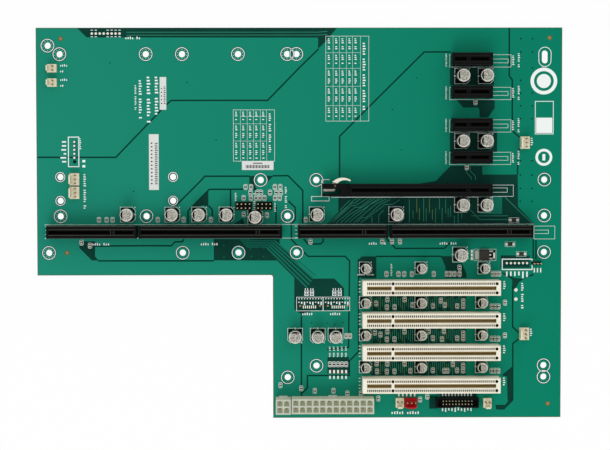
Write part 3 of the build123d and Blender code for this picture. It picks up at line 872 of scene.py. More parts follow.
def board_holes() -> list[Box]:
    """Find every hole in the board from the upright faces of its solid.

    Returns:
        The holes' boxes in mm.
    """
    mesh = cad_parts["circuit_board"].data
    near: dict[tuple[int, int], set[tuple[int, int]]] = {}
    for polygon in mesh.polygons:
        if abs(polygon.normal.z) > 0.5:
            continue
        keys = [tuple(round(part * 1e6) for part in mesh.vertices[index].co.xy) for index in polygon.vertices]
        for key in keys:
            near.setdefault(key, set()).update(keys)
    holes = []
    left = set(near)
    while left:
        waiting = [left.pop()]
        loop = []
        while waiting:
            key = waiting.pop()
            loop.append(key)
            for other in near[key] & left:
                left.discard(other)
                waiting.append(other)
        xs, ys = ([part / 1000 for part in values] for values in zip(*loop))
        if max(xs) - min(xs) < 20:
            holes.append(Box(min(xs), max(xs), min(ys), max(ys), UNDERSIDE, SURFACE))
    return sorted(holes, key=lambda hole: (hole.x, hole.y))


HOLES = board_holes()
MOUNTS = [hole for hole in HOLES if 3.5 < hole.wide < 4.5 and hole.deep < 4.5]


@dataclass
class BareBoard:
    """The circuit board, with green faces and a laminate edge."""

    up: float = 0.7

    def build(self) -> None:
        """Colour the board's own solid by the way that each face looks."""
        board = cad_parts["circuit_board"]
        mesh = board.data
        mesh.materials.clear()
        for finish in (MASK, LAMINATE):
            mesh.materials.append(finish.material())
        for polygon in mesh.polygons:
            polygon.material_index = 0 if abs(polygon.normal.z) > self.up else 1


@dataclass
class Fields:
    """Bare laminate between the copper fields, seen darker through the mask, and traces on it."""

    line: float = 0.95
    track: float = 0.32
    broad: float = 1.0
    lift: float = 0.002
    low: float = SURFACE - 0.01

    def build(self) -> None:
        """Make the dark fields, the gaps between fields, and the traces."""
        self.dark_fields()
        self.gaps()
        self.slanted()
        self.upright()
        self.bundle()

    def dark_fields(self) -> None:
        """Make the wide bare fields."""
        sketch = Sketch()
        high = SURFACE + Layer.GAP.value
        outlines = (
            [(-138.7, 122.4), (-132.8, 116.5), (11.7, 116.3), (11.7, 109.2), (16.0, 113.5), (23.5, 122.3)],
            [
                (24.3, 16.9), (85.4, 26.6), (94.6, 36.0), (114.7, 36.0), (114.7, 30.6), (136.9, 30.6),
                (137.2, 10.5), (147.4, -0.4), (16.6, -0.6), (24.3, 7.2),
            ],
            [(94.2, 98.5), (121.8, 98.5), (121.8, 86.7), (94.2, 86.7)],
            [(94.3, 57.9), (123.9, 57.9), (123.9, 44.7), (94.3, 44.7)],
            [
                (-53.9, -9.6), (-12.6, -9.6), (-12.6, -12.5), (7.7, -34.6), (21.8, -34.6), (27.9, -40.6),
                (27.8, -55.0), (7.8, -55.0), (2.6, -57.0), (0.8, -58.4), (0.8, -56.9), (-3.4, -54.1),
                (-3.4, -34.0), (-14.2, -23.2), (-53.9, -23.0),
            ],
            [(37.1, -34.3), (37.1, -22.6), (39.0, -20.7), (48.2, -20.7), (48.2, -34.3)],
            [
                (88.2, -20.6), (96.4, -20.6), (96.4, -24.9), (101.9, -24.9), (104.6, -30.7), (105.2, -34.4),
                (91.7, -34.4), (91.6, -27.3), (89.6, -22.5),
            ],
            [(-138.2, -10.9), (-138.2, -15.1), (-130.4, -22.9), (-126.3, -22.9), (-128.4, -20.3), (-128.3, -10.9)],
            [(127.2, -96.0), (130.7, -96.8), (131.0, -110.9), (134.3, -111.3), (134.3, -90.0)],
            [
                (124.0, -115.0), (129.0, -115.0), (131.2, -112.8), (131.2, -110.9), (134.6, -110.9),
                (134.4, -111.7), (128.8, -117.4), (124.2, -117.4),
            ],
            [
                (126.5, -30.8), (129.9, -31.6), (135.4, -34.5), (140.1, -34.9), (147.1, -31.6), (147.1, -33.0),
                (142.2, -34.2), (138.1, -37.0), (135.4, -41.7), (133.7, -41.7), (133.7, -35.6), (128.8, -32.4),
            ],
            [(-57.2, 20.4), (-57.2, 11.0), (-60.4, 11.6), (-68.3, 9.4)],
            [
                (98.5, 77.4), (102.5, 72.6), (111.9, 72.6), (112.8, 71.0), (112.8, 66.4), (118.2, 66.4),
                (122.3, 72.3), (122.3, 77.4),
            ],
            [(-35.6, 3.5), (-41.8, -0.4), (-34.4, -0.4)],
            [(-31.5, 30.0), (-27.6, 30.0), (-28.8, 26.5), (-27.6, 23.2), (-26.0, 20.9), (-31.5, 20.9)],
            [(-21.4, 30.0), (-16.3, 30.0), (-19.9, 26.4), (-20.6, 28.2)],
            [(126.4, -20.2), (144.6, -20.2), (144.6, -28.0), (126.4, -28.0)],
            rectangle(17.4, -94.6, 31.0, -84.2),
            rectangle(88.6, -110.0, 111.6, -106.2),
            rectangle(81.6, -117.0, 86.4, -108.6),
        )
        for outline in outlines:
            holes = [circle(hole.x, hole.y, 3.3, 24) for hole in MOUNTS if inside(outline, hole.x, hole.y, 3.4)]
            sketch.plate(outline, holes, self.low, high)
        for number in range(3):
            middle = (WIDE_ROWS[number] + WIDE_ROWS[number + 1]) / 2
            sketch.block(44.8, 104.7, middle - 5.2, middle + 5.2, self.low, high)
        sketch.piece("bare_fields", GAP, slot="board_green")

    def gaps(self) -> None:
        """Make the narrow gaps between the copper fields."""
        sketch = Sketch()
        high = SURFACE + Layer.GAP.value + 0.004
        paths = (
            [(12.0, 109.2), (0.4, 98.0), (-19.9, 77.2), (-80.2, 77.2), (-83.3, 74.5), (-115.0, 41.7), (-163.9, 41.8)],
            [(94.8, 107.3), (78.1, 107.3), (43.9, 73.5), (25.1, 54.6), (25.1, 29.2)],
            [(131.3, 122.2), (131.4, 92.3), (133.3, 89.8), (133.4, 66.0), (134.3, 57.1), (138.4, 53.7)],
            [(138.4, 47.2), (137.1, 45.5), (136.8, 30.6)],
            [(-79.0, 9.9), (-61.5, 27.4), (-59.4, 29.8), (-31.2, 29.8)],
            [(-16.8, 30.0), (-7.2, 30.1), (2.0, 20.8), (2.0, 0.4)],
            [(-34.3, 21.6), (-56.6, 21.6), (-68.3, 9.9), (-70.0, 7.8), (-70.0, -0.1)],
            [(-43.3, 21.3), (-43.3, 0.2)],
            [(-57.0, 11.2), (-54.8, 8.8), (-54.8, 0.3)],
            [(-7.0, 14.3), (-2.7, 10.0), (-2.7, 2.6), (-5.2, -0.5), (-5.2, -9.9), (0.2, -15.5)],
            [(-14.8, 11.9), (-14.8, 0.1)],
            [(0.2, -15.5), (5.3, -20.6), (28.5, -20.6), (31.4, -23.6), (30.7, -78.1), (17.4, -79.4)],
            [(36.9, -22.4), (37.1, -80.7), (31.2, -86.7), (31.2, -95.8), (4.8, -95.8), (4.7, -103.7), (1.0, -107.2)],
            [(1.0, -58.4), (1.0, -109.4)],
            [(48.0, -20.7), (89.0, -20.7)],
            [(2.6, -9.7), (5.3, -12.8), (13.2, -12.8), (14.8, -11.2), (14.8, -9.4)],
            [(54.4, -9.5), (60.3, -15.7), (91.0, -15.7), (95.6, -11.1)],
            [(146.9, -9.8), (146.9, -22.6)],
            [(148.6, -10.6), (148.6, -22.6)],
            [(134.0, -39.5), (134.1, -65.4), (138.1, -69.2)],
            [(138.5, -72.7), (134.2, -75.8), (134.3, -111.3)],
            [(129.0, -115.2), (124.0, -115.2), (124.4, -117.2), (128.7, -117.2), (134.4, -111.5)],
            [(-97.0, -13.7), (-80.6, -13.8), (-78.1, -11.3), (-73.8, -11.3), (-72.5, -9.7)],
            [(-128.3, -13.9), (-97.0, -13.7)],
            [(-126.6, -23.2), (-53.8, -23.3)],
        )
        for number, path in enumerate(paths):
            sketch.strip(path, self.line, self.low, high + self.lift * (number % 3))
        for x, y in (
            (27.1, -62.4), (22.1, -63.4), (17.2, -62.6), (31.9, -68.2), (26.0, -66.4), (21.0, -68.6), (7.5, -62.3),
            (-118.4, 100.6), (-70.2, 88.4), (64.0, 46.0), (58.2, 71.4), (-104.0, 20.4), (-52.2, 52.6), (73.4, 91.0),
        ):
            sketch.disc(x, y, 0.42, self.low, high, 8)
        for y in (115.5, 107.2, 89.6, 81.6, 73.6, 65.6, 39.2, 30.3, 21.9, 13.8):
            sketch.disc(138.6, y, 0.55, self.low, high, 8)
            sketch.disc(145.9, y if y != 89.6 else 97.2, 0.55, self.low, high, 8)
        sketch.piece("field_gaps", GAP_LINE, slot="board_green")
        rim = Sketch()
        outline = [
            (164.3, 122.3), (-164.3, 122.3), (-164.3, -32.1), (-16.6, -32.1), (-16.6, -122.3), (164.3, -122.3),
        ]
        rim.strip(outline, 0.4, self.low, SURFACE + 0.01, closed=True)
        rim.piece("mask_rim", RIM_MASK, slot="board_green")

    def slanted(self) -> None:
        """Make the slanting traces between the long connectors and those at the rear edge."""
        sketch = Sketch()
        high = SURFACE + Layer.TRACE.value
        paths = (
            [(-108.0, 119.7), (12.0, 119.7), (17.5, 120.1)],
            [(-108.0, 117.9), (12.0, 117.9), (17.5, 118.3)],
            [(25.4, 8.0), (26.9, 10.0), (31.6, 14.6)],
            [(22.2, 2.9), (28.5, 8.8), (34.0, 14.7), (36.3, 15.9)],
            [(18.7, 0.6), (24.6, 6.1), (32.0, 12.3), (34.8, 13.1), (38.7, 15.9)],
            [(20.6, 0.6), (32.4, 11.2), (34.8, 11.2), (42.6, 15.8)],
            [(23.0, 0.6), (28.5, 4.9), (34.8, 10.2), (37.9, 10.2), (45.0, 15.8)],
            [(25.8, 0.6), (31.6, 5.7), (37.9, 9.4), (47.3, 15.8)],
            [(28.5, 0.6), (34.8, 6.0), (41.0, 9.6), (49.7, 15.8)],
            [(30.9, 0.6), (38.7, 6.8), (44.2, 11.9), (52.0, 15.8)],
            [(34.0, 0.6), (41.0, 6.4), (48.1, 12.3), (54.4, 15.4)],
            [(36.0, 0.9), (39.1, 3.7), (41.8, 3.7), (50.5, 11.9), (56.8, 15.0)],
            [(38.3, 0.6), (41.8, 2.9), (53.6, 11.9), (58.3, 11.9), (63.0, 15.0)],
            [(45.4, 4.5), (45.4, 0.3)],
            [(49.7, 0.3), (49.7, 5.2), (52.8, 8.4)],
            [(104.5, 9.8), (107.9, 7.8), (113.0, 2.4), (132.5, 2.3)],
            [(129.0, 16.3), (138.3, 7.4), (146.0, 0.2)],
            [(107.9, 4.7), (131.1, 4.7)],
            [(107.0, 36.0), (107.0, 33.0), (110.4, 29.6), (110.4, 27.4)],
            [(104.6, 36.0), (104.6, 32.0), (107.8, 28.8), (107.8, 27.4)],
        )
        for number, path in enumerate(paths):
            sketch.strip(path, self.track, self.low, high + self.lift * (number % 4))
        sketch.piece("slanted_traces", TRACE, slot="board_green")

    def upright(self) -> None:
        """Make the upright traces, some of them thinly covered."""
        plain = Sketch()
        bare = Sketch()
        high = SURFACE + Layer.TRACE.value
        runs = (
            (68.9, 0.5, 15.0), (73.6, 6.8, 15.8), (75.2, 2.1, 9.5), (77.9, 1.3, 15.8), (79.5, 1.3, 9.5),
            (81.5, 6.8, 15.8), (85.4, 0.3, 9.5), (87.8, 8.7, 15.8), (89.5, 0.3, 9.5), (91.7, 6.3, 15.0),
            (93.3, 4.0, 9.5), (97.2, 0.3, 4.8), (94.8, 4.0, 11.1), (71.2, 3.0, 8.0), (83.4, 2.2, 8.6),
            (99.6, 0.4, 7.6), (101.8, 3.4, 9.0),
        )
        for number, (x, foot, head) in enumerate(runs):
            target = bare if number in (1, 2, 5, 14) else plain
            target.strip([(x, foot), (x, head)], self.track, self.low, high)
        for number in range(3):
            middle = (WIDE_ROWS[number] + WIDE_ROWS[number + 1]) / 2
            for column in range(46):
                x = 45.6 + 1.27 * column
                reach = 4.9 - (column * 3 % 4) * 0.9
                shift = ((column * 5 + number) % 3 - 1) * 0.5
                target = bare if column % 11 == 4 else plain
                target.strip([(x, middle + shift - reach), (x, middle + shift + reach)], self.track, self.low, high)
        plain.piece("upright_traces", TRACE, slot="board_green")
        bare.piece("thinly_covered_traces", BARE_TRACE, slot="board_green")

    def bundle(self) -> None:
        """Make the five broad traces that run slanting to the two data connectors' places."""
        sketch = Sketch()
        high = SURFACE + Layer.TRACE.value
        for number in range(5):
            height = -14.7 + number
            bend = -20.9 + 1.3 * number
            reach = 25.6 - 0.9 * number
            sketch.strip([(-37.2 + 1.2 * number, -9.8), (-32.8 + 0.45 * number, height), (bend, height)], 0.5, self.low, high)
            end = (bend + 0.9 * number + reach, height - reach)
            sketch.strip([(bend, height), end], self.broad, self.low, high + self.lift)
        sketch.plate(rectangle(113.3, 5.8, 127.2, 17.1), [], self.low, high)
        for x, y in ((-47.5, -13.6), (-47.5, -21.0), (-30.8, -15.8), (-30.2, -20.6), (-22.6, -15.4), (-22.6, -20.6)):
            sketch.disc(x, y, 0.4, self.low, high, 8)
        sketch.piece("broad_traces", BROAD_TRACE, slot="board_green")


WIDE_ROWS = (-39.84, -60.16, -80.48, -100.8)


# Card connectors


@dataclass
class WideConnectors:
    """The four ivory card connectors, with two rows of open contact cavities each."""

    pitch: float = 1.27
    count: int = 62
    end: float = 4.2
    slot_end: float = 1.4
    slot_half: float = 1.15
    slot_depth: float = 10.4
    lead_in: float = 0.5
    key_half: float = 0.9
    cavity_row: float = 2.83
    cavity_half: float = 0.72
    cavity_length: float = 0.78
    cavity_depth: float = 5.0
    shade_drop: float = 0.9
    hole_from_end: float = 2.4
    hole_radius: float = 0.95
    wall_bevel: float = 0.25
    end_bevel: float = 0.6

    def build(self) -> None:
        """Build the four housings and their contacts."""
        for number in range(1, 5):
            box = node_box(f"wide_slot_{number}")
            self.housing(number, box)
            self.ribs(number, box)
            self.contacts(number, box)

    def columns(self, box: Box) -> list[float]:
        """Give the contact places along X that aren't taken by the key."""
        first = box.x0 + self.end
        return [first + index * self.pitch for index in range(self.count) if index not in (11, 12)]

    def key(self, box: Box) -> float:
        """Give the key's place along X."""
        return box.x0 + self.end + 11.5 * self.pitch

    def housing(self, number: int, box: Box) -> None:
        """Make the floor, the long walls, the ends and the key wall, with painted shade: a dark sheet a little below
        the top of each cavity row and a black disc in each round hole.

        Args:
            number: The connector's number.
            box: Its box.
        """
        sketch = Sketch()
        slot_floor = box.z1 - self.slot_depth
        cavity_floor = box.z1 - self.cavity_depth
        start = box.x0 + self.end - self.slot_end
        stop = box.x1 - self.end + self.slot_end
        key = self.key(box)
        sketch.block(box.x0, box.x1, box.y0, box.y1, box.z0, slot_floor)
        for side in (-1, 1):
            inner = box.y + side * (self.cavity_row - self.cavity_half)
            outer = box.y + side * (self.cavity_row + self.cavity_half)
            edge = box.y + side * box.deep / 2
            sketch.block(start, stop, outer, edge, slot_floor, box.z1, self.wall_bevel)
            sketch.block(start, stop, inner, outer, slot_floor, cavity_floor)
            self.slot_wall(sketch, box, side, inner, start, stop, slot_floor)
        for x0, x1 in ((box.x0, start), (stop, box.x1)):
            sketch.block(x0, x1, box.y0, box.y1, slot_floor, box.z1, self.wall_bevel)
            shade = -1 if x0 == box.x0 else 1
            rim = box.x0 if shade < 0 else box.x1
            sketch.block(rim - shade * 1.2, rim + shade * 0.02, box.y - 1.2, box.y + 1.2, slot_floor, box.z1 - 1.4)
        sketch.block(key - self.key_half, key + self.key_half, box.y - 1.6, box.y + 1.6, slot_floor, box.z1)
        cavity_shades = Sketch()
        hole_shades = Sketch()
        for side in (-1, 1):
            row = box.y + side * self.cavity_row
            half = self.cavity_half + 0.01
            sketch.block(key - self.pitch, key + self.pitch, row - half, row + half, cavity_floor, box.z1 - 0.01)
            # Dark sheet just under the top of each cavity row: painted shade.
            cavity_shades.block(start + 0.1, stop - 0.1, row - half, row + half, cavity_floor, box.z1 - self.shade_drop)
            for x in (key, box.x1 - self.hole_from_end):
                # Black discs in the round holes at the key and near the rear end: painted shade for their dark inside.
                hole_shades.disc(x, row, self.hole_radius, box.z1 - 1.0, box.z1 + 0.02, 16)
        piece = sketch.piece(f"wide_housing_{number}", IVORY, slot="ivory_housing")
        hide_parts(f"wide_slot_{number}")
        cavity_shades.piece(f"wide_cavity_floors_{number}", CAVITY_SHADE)
        hole_shades.piece(f"wide_post_holes_{number}", CAN_MARK_AND_HOLE_SHADE)

    def slot_wall(
        self, sketch: Sketch, box: Box, side: int, inner: float, start: float, stop: float, foot: float
    ) -> None:
        """Make the wall between the slot and a cavity row, with the lead-in on the slot's side.

        Args:
            sketch: Where the wall goes.
            box: The connector's box.
            side: Minus one or one along Y.
            inner: The cavities' near edge.
            start: The slot's front end.
            stop: The slot's rear end.
            foot: Height of the slot's floor.
        """
        near = box.y + side * self.slot_half
        low = box.z1 - self.lead_in
        sketch.block(start, stop, near, inner, foot, low)
        cut = near + side * self.lead_in
        corners = [(x, y, z) for x in (start, stop) for y, z in ((near, low), (inner, low), (inner, box.z1), (cut, box.z1))]
        faces = [[0, 1, 2, 3], [7, 6, 5, 4], [0, 4, 5, 1], [1, 5, 6, 2], [2, 6, 7, 3], [3, 7, 4, 0]]
        if side < 0:
            faces = [face[::-1] for face in faces]
        sketch.add(corners, [face[::-1] for face in faces])

    def ribs(self, number: int, box: Box) -> None:
        """Make the thin ribs between the cavities.

        Args:
            number: The connector's number.
            box: Its box.
        """
        half = (self.pitch - self.cavity_length) / 2
        rib = Sketch()
        rib.block(-half, half, -self.cavity_half, self.cavity_half, -self.cavity_depth, 0)
        runs = []
        for side in (-1, 1):
            height = box.z1 - 0.05
            row = box.y + side * self.cavity_row
            first = box.x0 + self.end - self.pitch / 2
            runs.append((self.count + 1, (first, row, height), (self.pitch, 0, 0)))
        Pattern(f"wide_ribs_{number}", IVORY, "ivory_housing").rows(rib, runs)

    def contacts(self, number: int, box: Box) -> None:
        """Make the bent contacts on both sides of the slot.

        Args:
            number: The connector's number.
            box: Its box.
        """
        low = -8.0
        blade = Sketch()
        blade.block(-0.45, 0.45, -0.12, 0.12, low, -1.3)
        blade.block(-0.45, 0.45, 0.1, 0.72, -1.7, -1.35)
        places = []
        for x in self.columns(box):
            for side, turn in ((1, math.pi), (-1, 0.0)):
                places.append((x, box.y + side * (self.slot_half - 0.18), box.z1, turn))
        piece = Pattern(f"wide_springs_{number}", GOLD, "contact_gold").scatter(blade, places)
        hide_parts(f"wide_contacts_{number}")


@dataclass
class FineConnectors:
    """The black card connectors: ridges beside the slot, ribs on the sides, and contacts; ridges and ribs are a lighter
    black, a painted sheen.
    """

    pitch: float = 1.0
    key_from_rear: float = 15.0
    behind_key: int = 11
    slot_half: float = 0.9
    ridge_offset: float = 1.75
    ridge_half: float = 0.16
    ridge_rise: float = 0.12
    rib_pitch: float = 6.1

    def build(self) -> None:
        """Build the trim of all nine connectors."""
        names = [f"host_slot_{number}" for number in range(1, 5)] + ["x16_slot"]
        names += [f"x1_slot_{number}" for number in range(1, 5)]
        counts = {"host_slot_1": 49, "host_slot_3": 49, "host_slot_2": 82, "host_slot_4": 82, "x16_slot": 82}
        long = Sketch()
        short = Sketch()
        for name in names:
            box = node_box(name)
            self.trim(long if name.startswith("host") else short, box)
            self.contacts(name.replace("slot", "contacts"), box, counts.get(name, 18))
        # Both ridge finishes are painted sheen on the black moulding.
        long.piece("host_ridges", RIDGE_SHEEN_BLACK, slot="black_housing")
        short.piece("card_slot_ridges", RIDGE_SOFT_SHEEN_BLACK, slot="black_housing")

    def trim(self, sketch: Sketch, box: Box) -> None:
        """Add one connector's ridges and side ribs.

        Args:
            sketch: Where they go.
            box: The connector's box.
        """
        key = box.x1 - self.key_from_rear
        for side in (-1, 1):
            for offset in (self.ridge_offset, box.deep / 2 - self.ridge_half):
                y = box.y + side * offset
                sketch.block(
                    box.x0 + 1.2, box.x1 - 1.2, y - self.ridge_half, y + self.ridge_half,
                    box.z1 - 0.1, box.z1 + self.ridge_rise,
                )
            count = int((box.wide - 4) / self.rib_pitch)
            for index in range(count + 1):
                x = box.x0 + 2 + index * (box.wide - 4) / max(count, 1)
                y = box.y + side * box.deep / 2
                sketch.block(x - 0.4, x + 0.4, y - 0.12, y + 0.12, box.z0 + 1.0, box.z1 - 0.6)
        for x in (key - 1.1, key + 1.1):
            sketch.block(x - 0.12, x + 0.12, box.y - 1.4, box.y + 1.4, box.z1 - 0.1, box.z1 + 0.1)

    def contacts(self, node: str, box: Box, count: int) -> None:
        """Make a connector's separate contacts.

        Args:
            node: The contacts' CAD node.
            box: The housing's box.
            count: Contacts on one side.
        """
        key = box.x1 - self.key_from_rear
        columns = [key + 1.5 + index * self.pitch for index in range(self.behind_key)]
        columns += [key - 1.5 - index * self.pitch for index in range(count - self.behind_key)]
        blade = Sketch()
        blade.block(-0.28, 0.28, -0.1, 0.1, -7.2, -1.9)
        places = []
        for x in columns:
            for side in (-1, 1):
                places.append((x, box.y + side * (self.slot_half - 0.15), box.z1, 0.0))
        piece = Pattern(node.replace("contacts", "springs"), DIM_GOLD, "contact_gold").scatter(blade, places)
        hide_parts(node)


# Capacitors, chips and other small parts


@dataclass
class CanCapacitors:
    """Aluminium cans with a crimped waist and a dark mark, on moulded bases."""

    sides: int = 40
    waist: float = 0.35
    edge: float = 0.45
    rim: float = 0.6

    def build(self) -> None:
        """Build the large and the small cans."""
        self.reach = {"large": 50.0, "small": 66.0}
        for size in ("large", "small"):
            cans = node_solids(f"{size}_capacitor_cans")
            bases = node_solids(f"{size}_capacitor_bases")
            self.cans(size, cans)
            self.feet(size, bases)

    def faces_up(self, can: Box) -> bool:
        """Say whether a can's mark lies towards +Y, as on the three beside the lower slots."""
        return can.y < -69 and can.y > -72 and can.x < 25

    def cans(self, size: str, cans: list[Box]) -> None:
        """Make the cans and their marks.

        Args:
            size: Large or small.
            cans: The boxes of the cans.
        """
        shell = Sketch()
        mark = Sketch()
        tops = Sketch()
        rims = Sketch()
        for can in cans:
            radius = can.deep / 2
            waist_z = can.z0 + 1.3
            profile = [
                (radius - 0.05, can.z0), (radius, can.z0 + 0.3), (radius, waist_z - 0.4),
                (radius - self.waist, waist_z), (radius, waist_z + 0.4), (radius, can.z1 - self.edge),
            ]
            lip = [
                (radius - self.rim - 0.1, can.z1 - self.edge), (radius, can.z1 - self.edge),
                (radius - 0.13, can.z1 - 0.13), (radius - self.rim * 0.6, can.z1), (radius - self.rim - 0.1, can.z1 - 0.04),
            ]
            shell.lathe(can.x, can.y, profile, self.sides)
            rims.lathe(can.x, can.y, lip + lip[:1], self.sides)
            mark.prism(self.crescent(can, radius - 0.35, self.reach[size]), can.z1 - 0.1, can.z1 - 0.005)
            tops.disc(can.x, can.y, radius - self.rim, can.z1 - 0.12, can.z1 - 0.02, self.sides)
        tops.piece(f"{size}_can_tops", CAN_TOP)
        # The rims' near-white is a painted highlight.
        rims.piece(f"{size}_can_rims", CAN_RIM_HIGHLIGHT, slot="can_aluminium")
        piece = shell.piece(f"{size}_cans", CAN, slot="can_aluminium")
        for polygon in piece.data.polygons:
            polygon.use_smooth = len(polygon.vertices) == 4
        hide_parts(f"{size}_capacitor_cans")
        mark.piece(f"{size}_can_marks", CAN_MARK_AND_HOLE_SHADE)

    def crescent(self, can: Box, radius: float, share: float) -> list[Point]:
        """Give the outline of the dark mark on a can's top.

        Args:
            can: The can's box.
            radius: The top's usable radius.
            share: Half of the angle that the mark spans, in degrees.

        Returns:
            The outline, cut off by a straight line.
        """
        middle = math.pi / 2 if self.faces_up(can) else math.pi
        reach = math.radians(share)
        steps = 12
        turns = [middle - reach + 2 * reach * index / steps for index in range(steps + 1)]
        return [(can.x + radius * math.cos(turn), can.y + radius * math.sin(turn)) for turn in turns]

    def feet(self, size: str, bases: list[Box]) -> None:
        """Make the metal feet that show at both sides of each base.

        Args:
            size: Large or small.
            bases: The boxes of the bases.
        """
        sketch = Sketch()
        for base in bases:
            if self.faces_up(base):
                for y0, y1 in ((base.y0 - 0.9, base.y0 + 0.5), (base.y1 - 0.5, base.y1 + 0.9)):
                    sketch.block(base.x - 0.5, base.x + 0.5, y0, y1, base.z0, base.z0 + 0.25)
            else:
                for x0, x1 in ((base.x0 - 0.9, base.x0 + 0.5), (base.x1 - 0.5, base.x1 + 0.9)):
                    sketch.block(x0, x1, base.y - 0.5, base.y + 0.5, base.z0, base.z0 + 0.25)
        sketch.piece(f"{size}_can_feet", TIN, slot="tinned_pin")


@dataclass
class Chips:
    """Ceramic chips and resistors with metal ends."""

    end: float = 0.56
    proud: float = 0.03
    small: tuple[Point, ...] = (
        (-35.0, 5.9), (-20.5, 5.4), (3.9, 2.4), (49.4, -110.4), (75.8, -111.2), (80.4, -109.3),
    )

    def build(self) -> None:
        """Put metal ends on every chip, and add a few small ones that the source leaves out."""
        places = [(box, 0.8) for box in self.added()]
        body = Sketch()
        body.block(-0.625, 0.625, -1.0, 1.0, 0.0, 0.8)
        Pattern("added_chips", CHIP, "chip_tan").scatter(body, [(x, y, SURFACE, 0.0) for x, y in self.small])
        for node in ("chip_capacitors", "chip_resistors", "indicator_lamps"):
            for box in node_solids(node):
                places.append((box, box.z1 - box.z0))
        for name, height in (("tall", 0.8), ("low", 0.5)):
            end = Sketch()
            for side in (-1, 1):
                y = side * (1.0 - self.end / 2)
                half = self.end / 2 + self.proud
                end.block(-0.625 - self.proud, 0.625 + self.proud, y - half, y + half, 0, height + self.proud, 0.08)
            chosen = [(box.x, box.y, SURFACE, 0.0) for box, size in places if abs(size - height) < 0.1]
            Pattern(f"{name}_chip_ends", TIN, "tinned_pin").scatter(end, chosen)

    def added(self) -> list[Box]:
        """Give the boxes of the added chips."""
        return [Box(x - 0.625, x + 0.625, y - 1.0, y + 1.0, SURFACE, SURFACE + 0.8) for x, y in self.small]


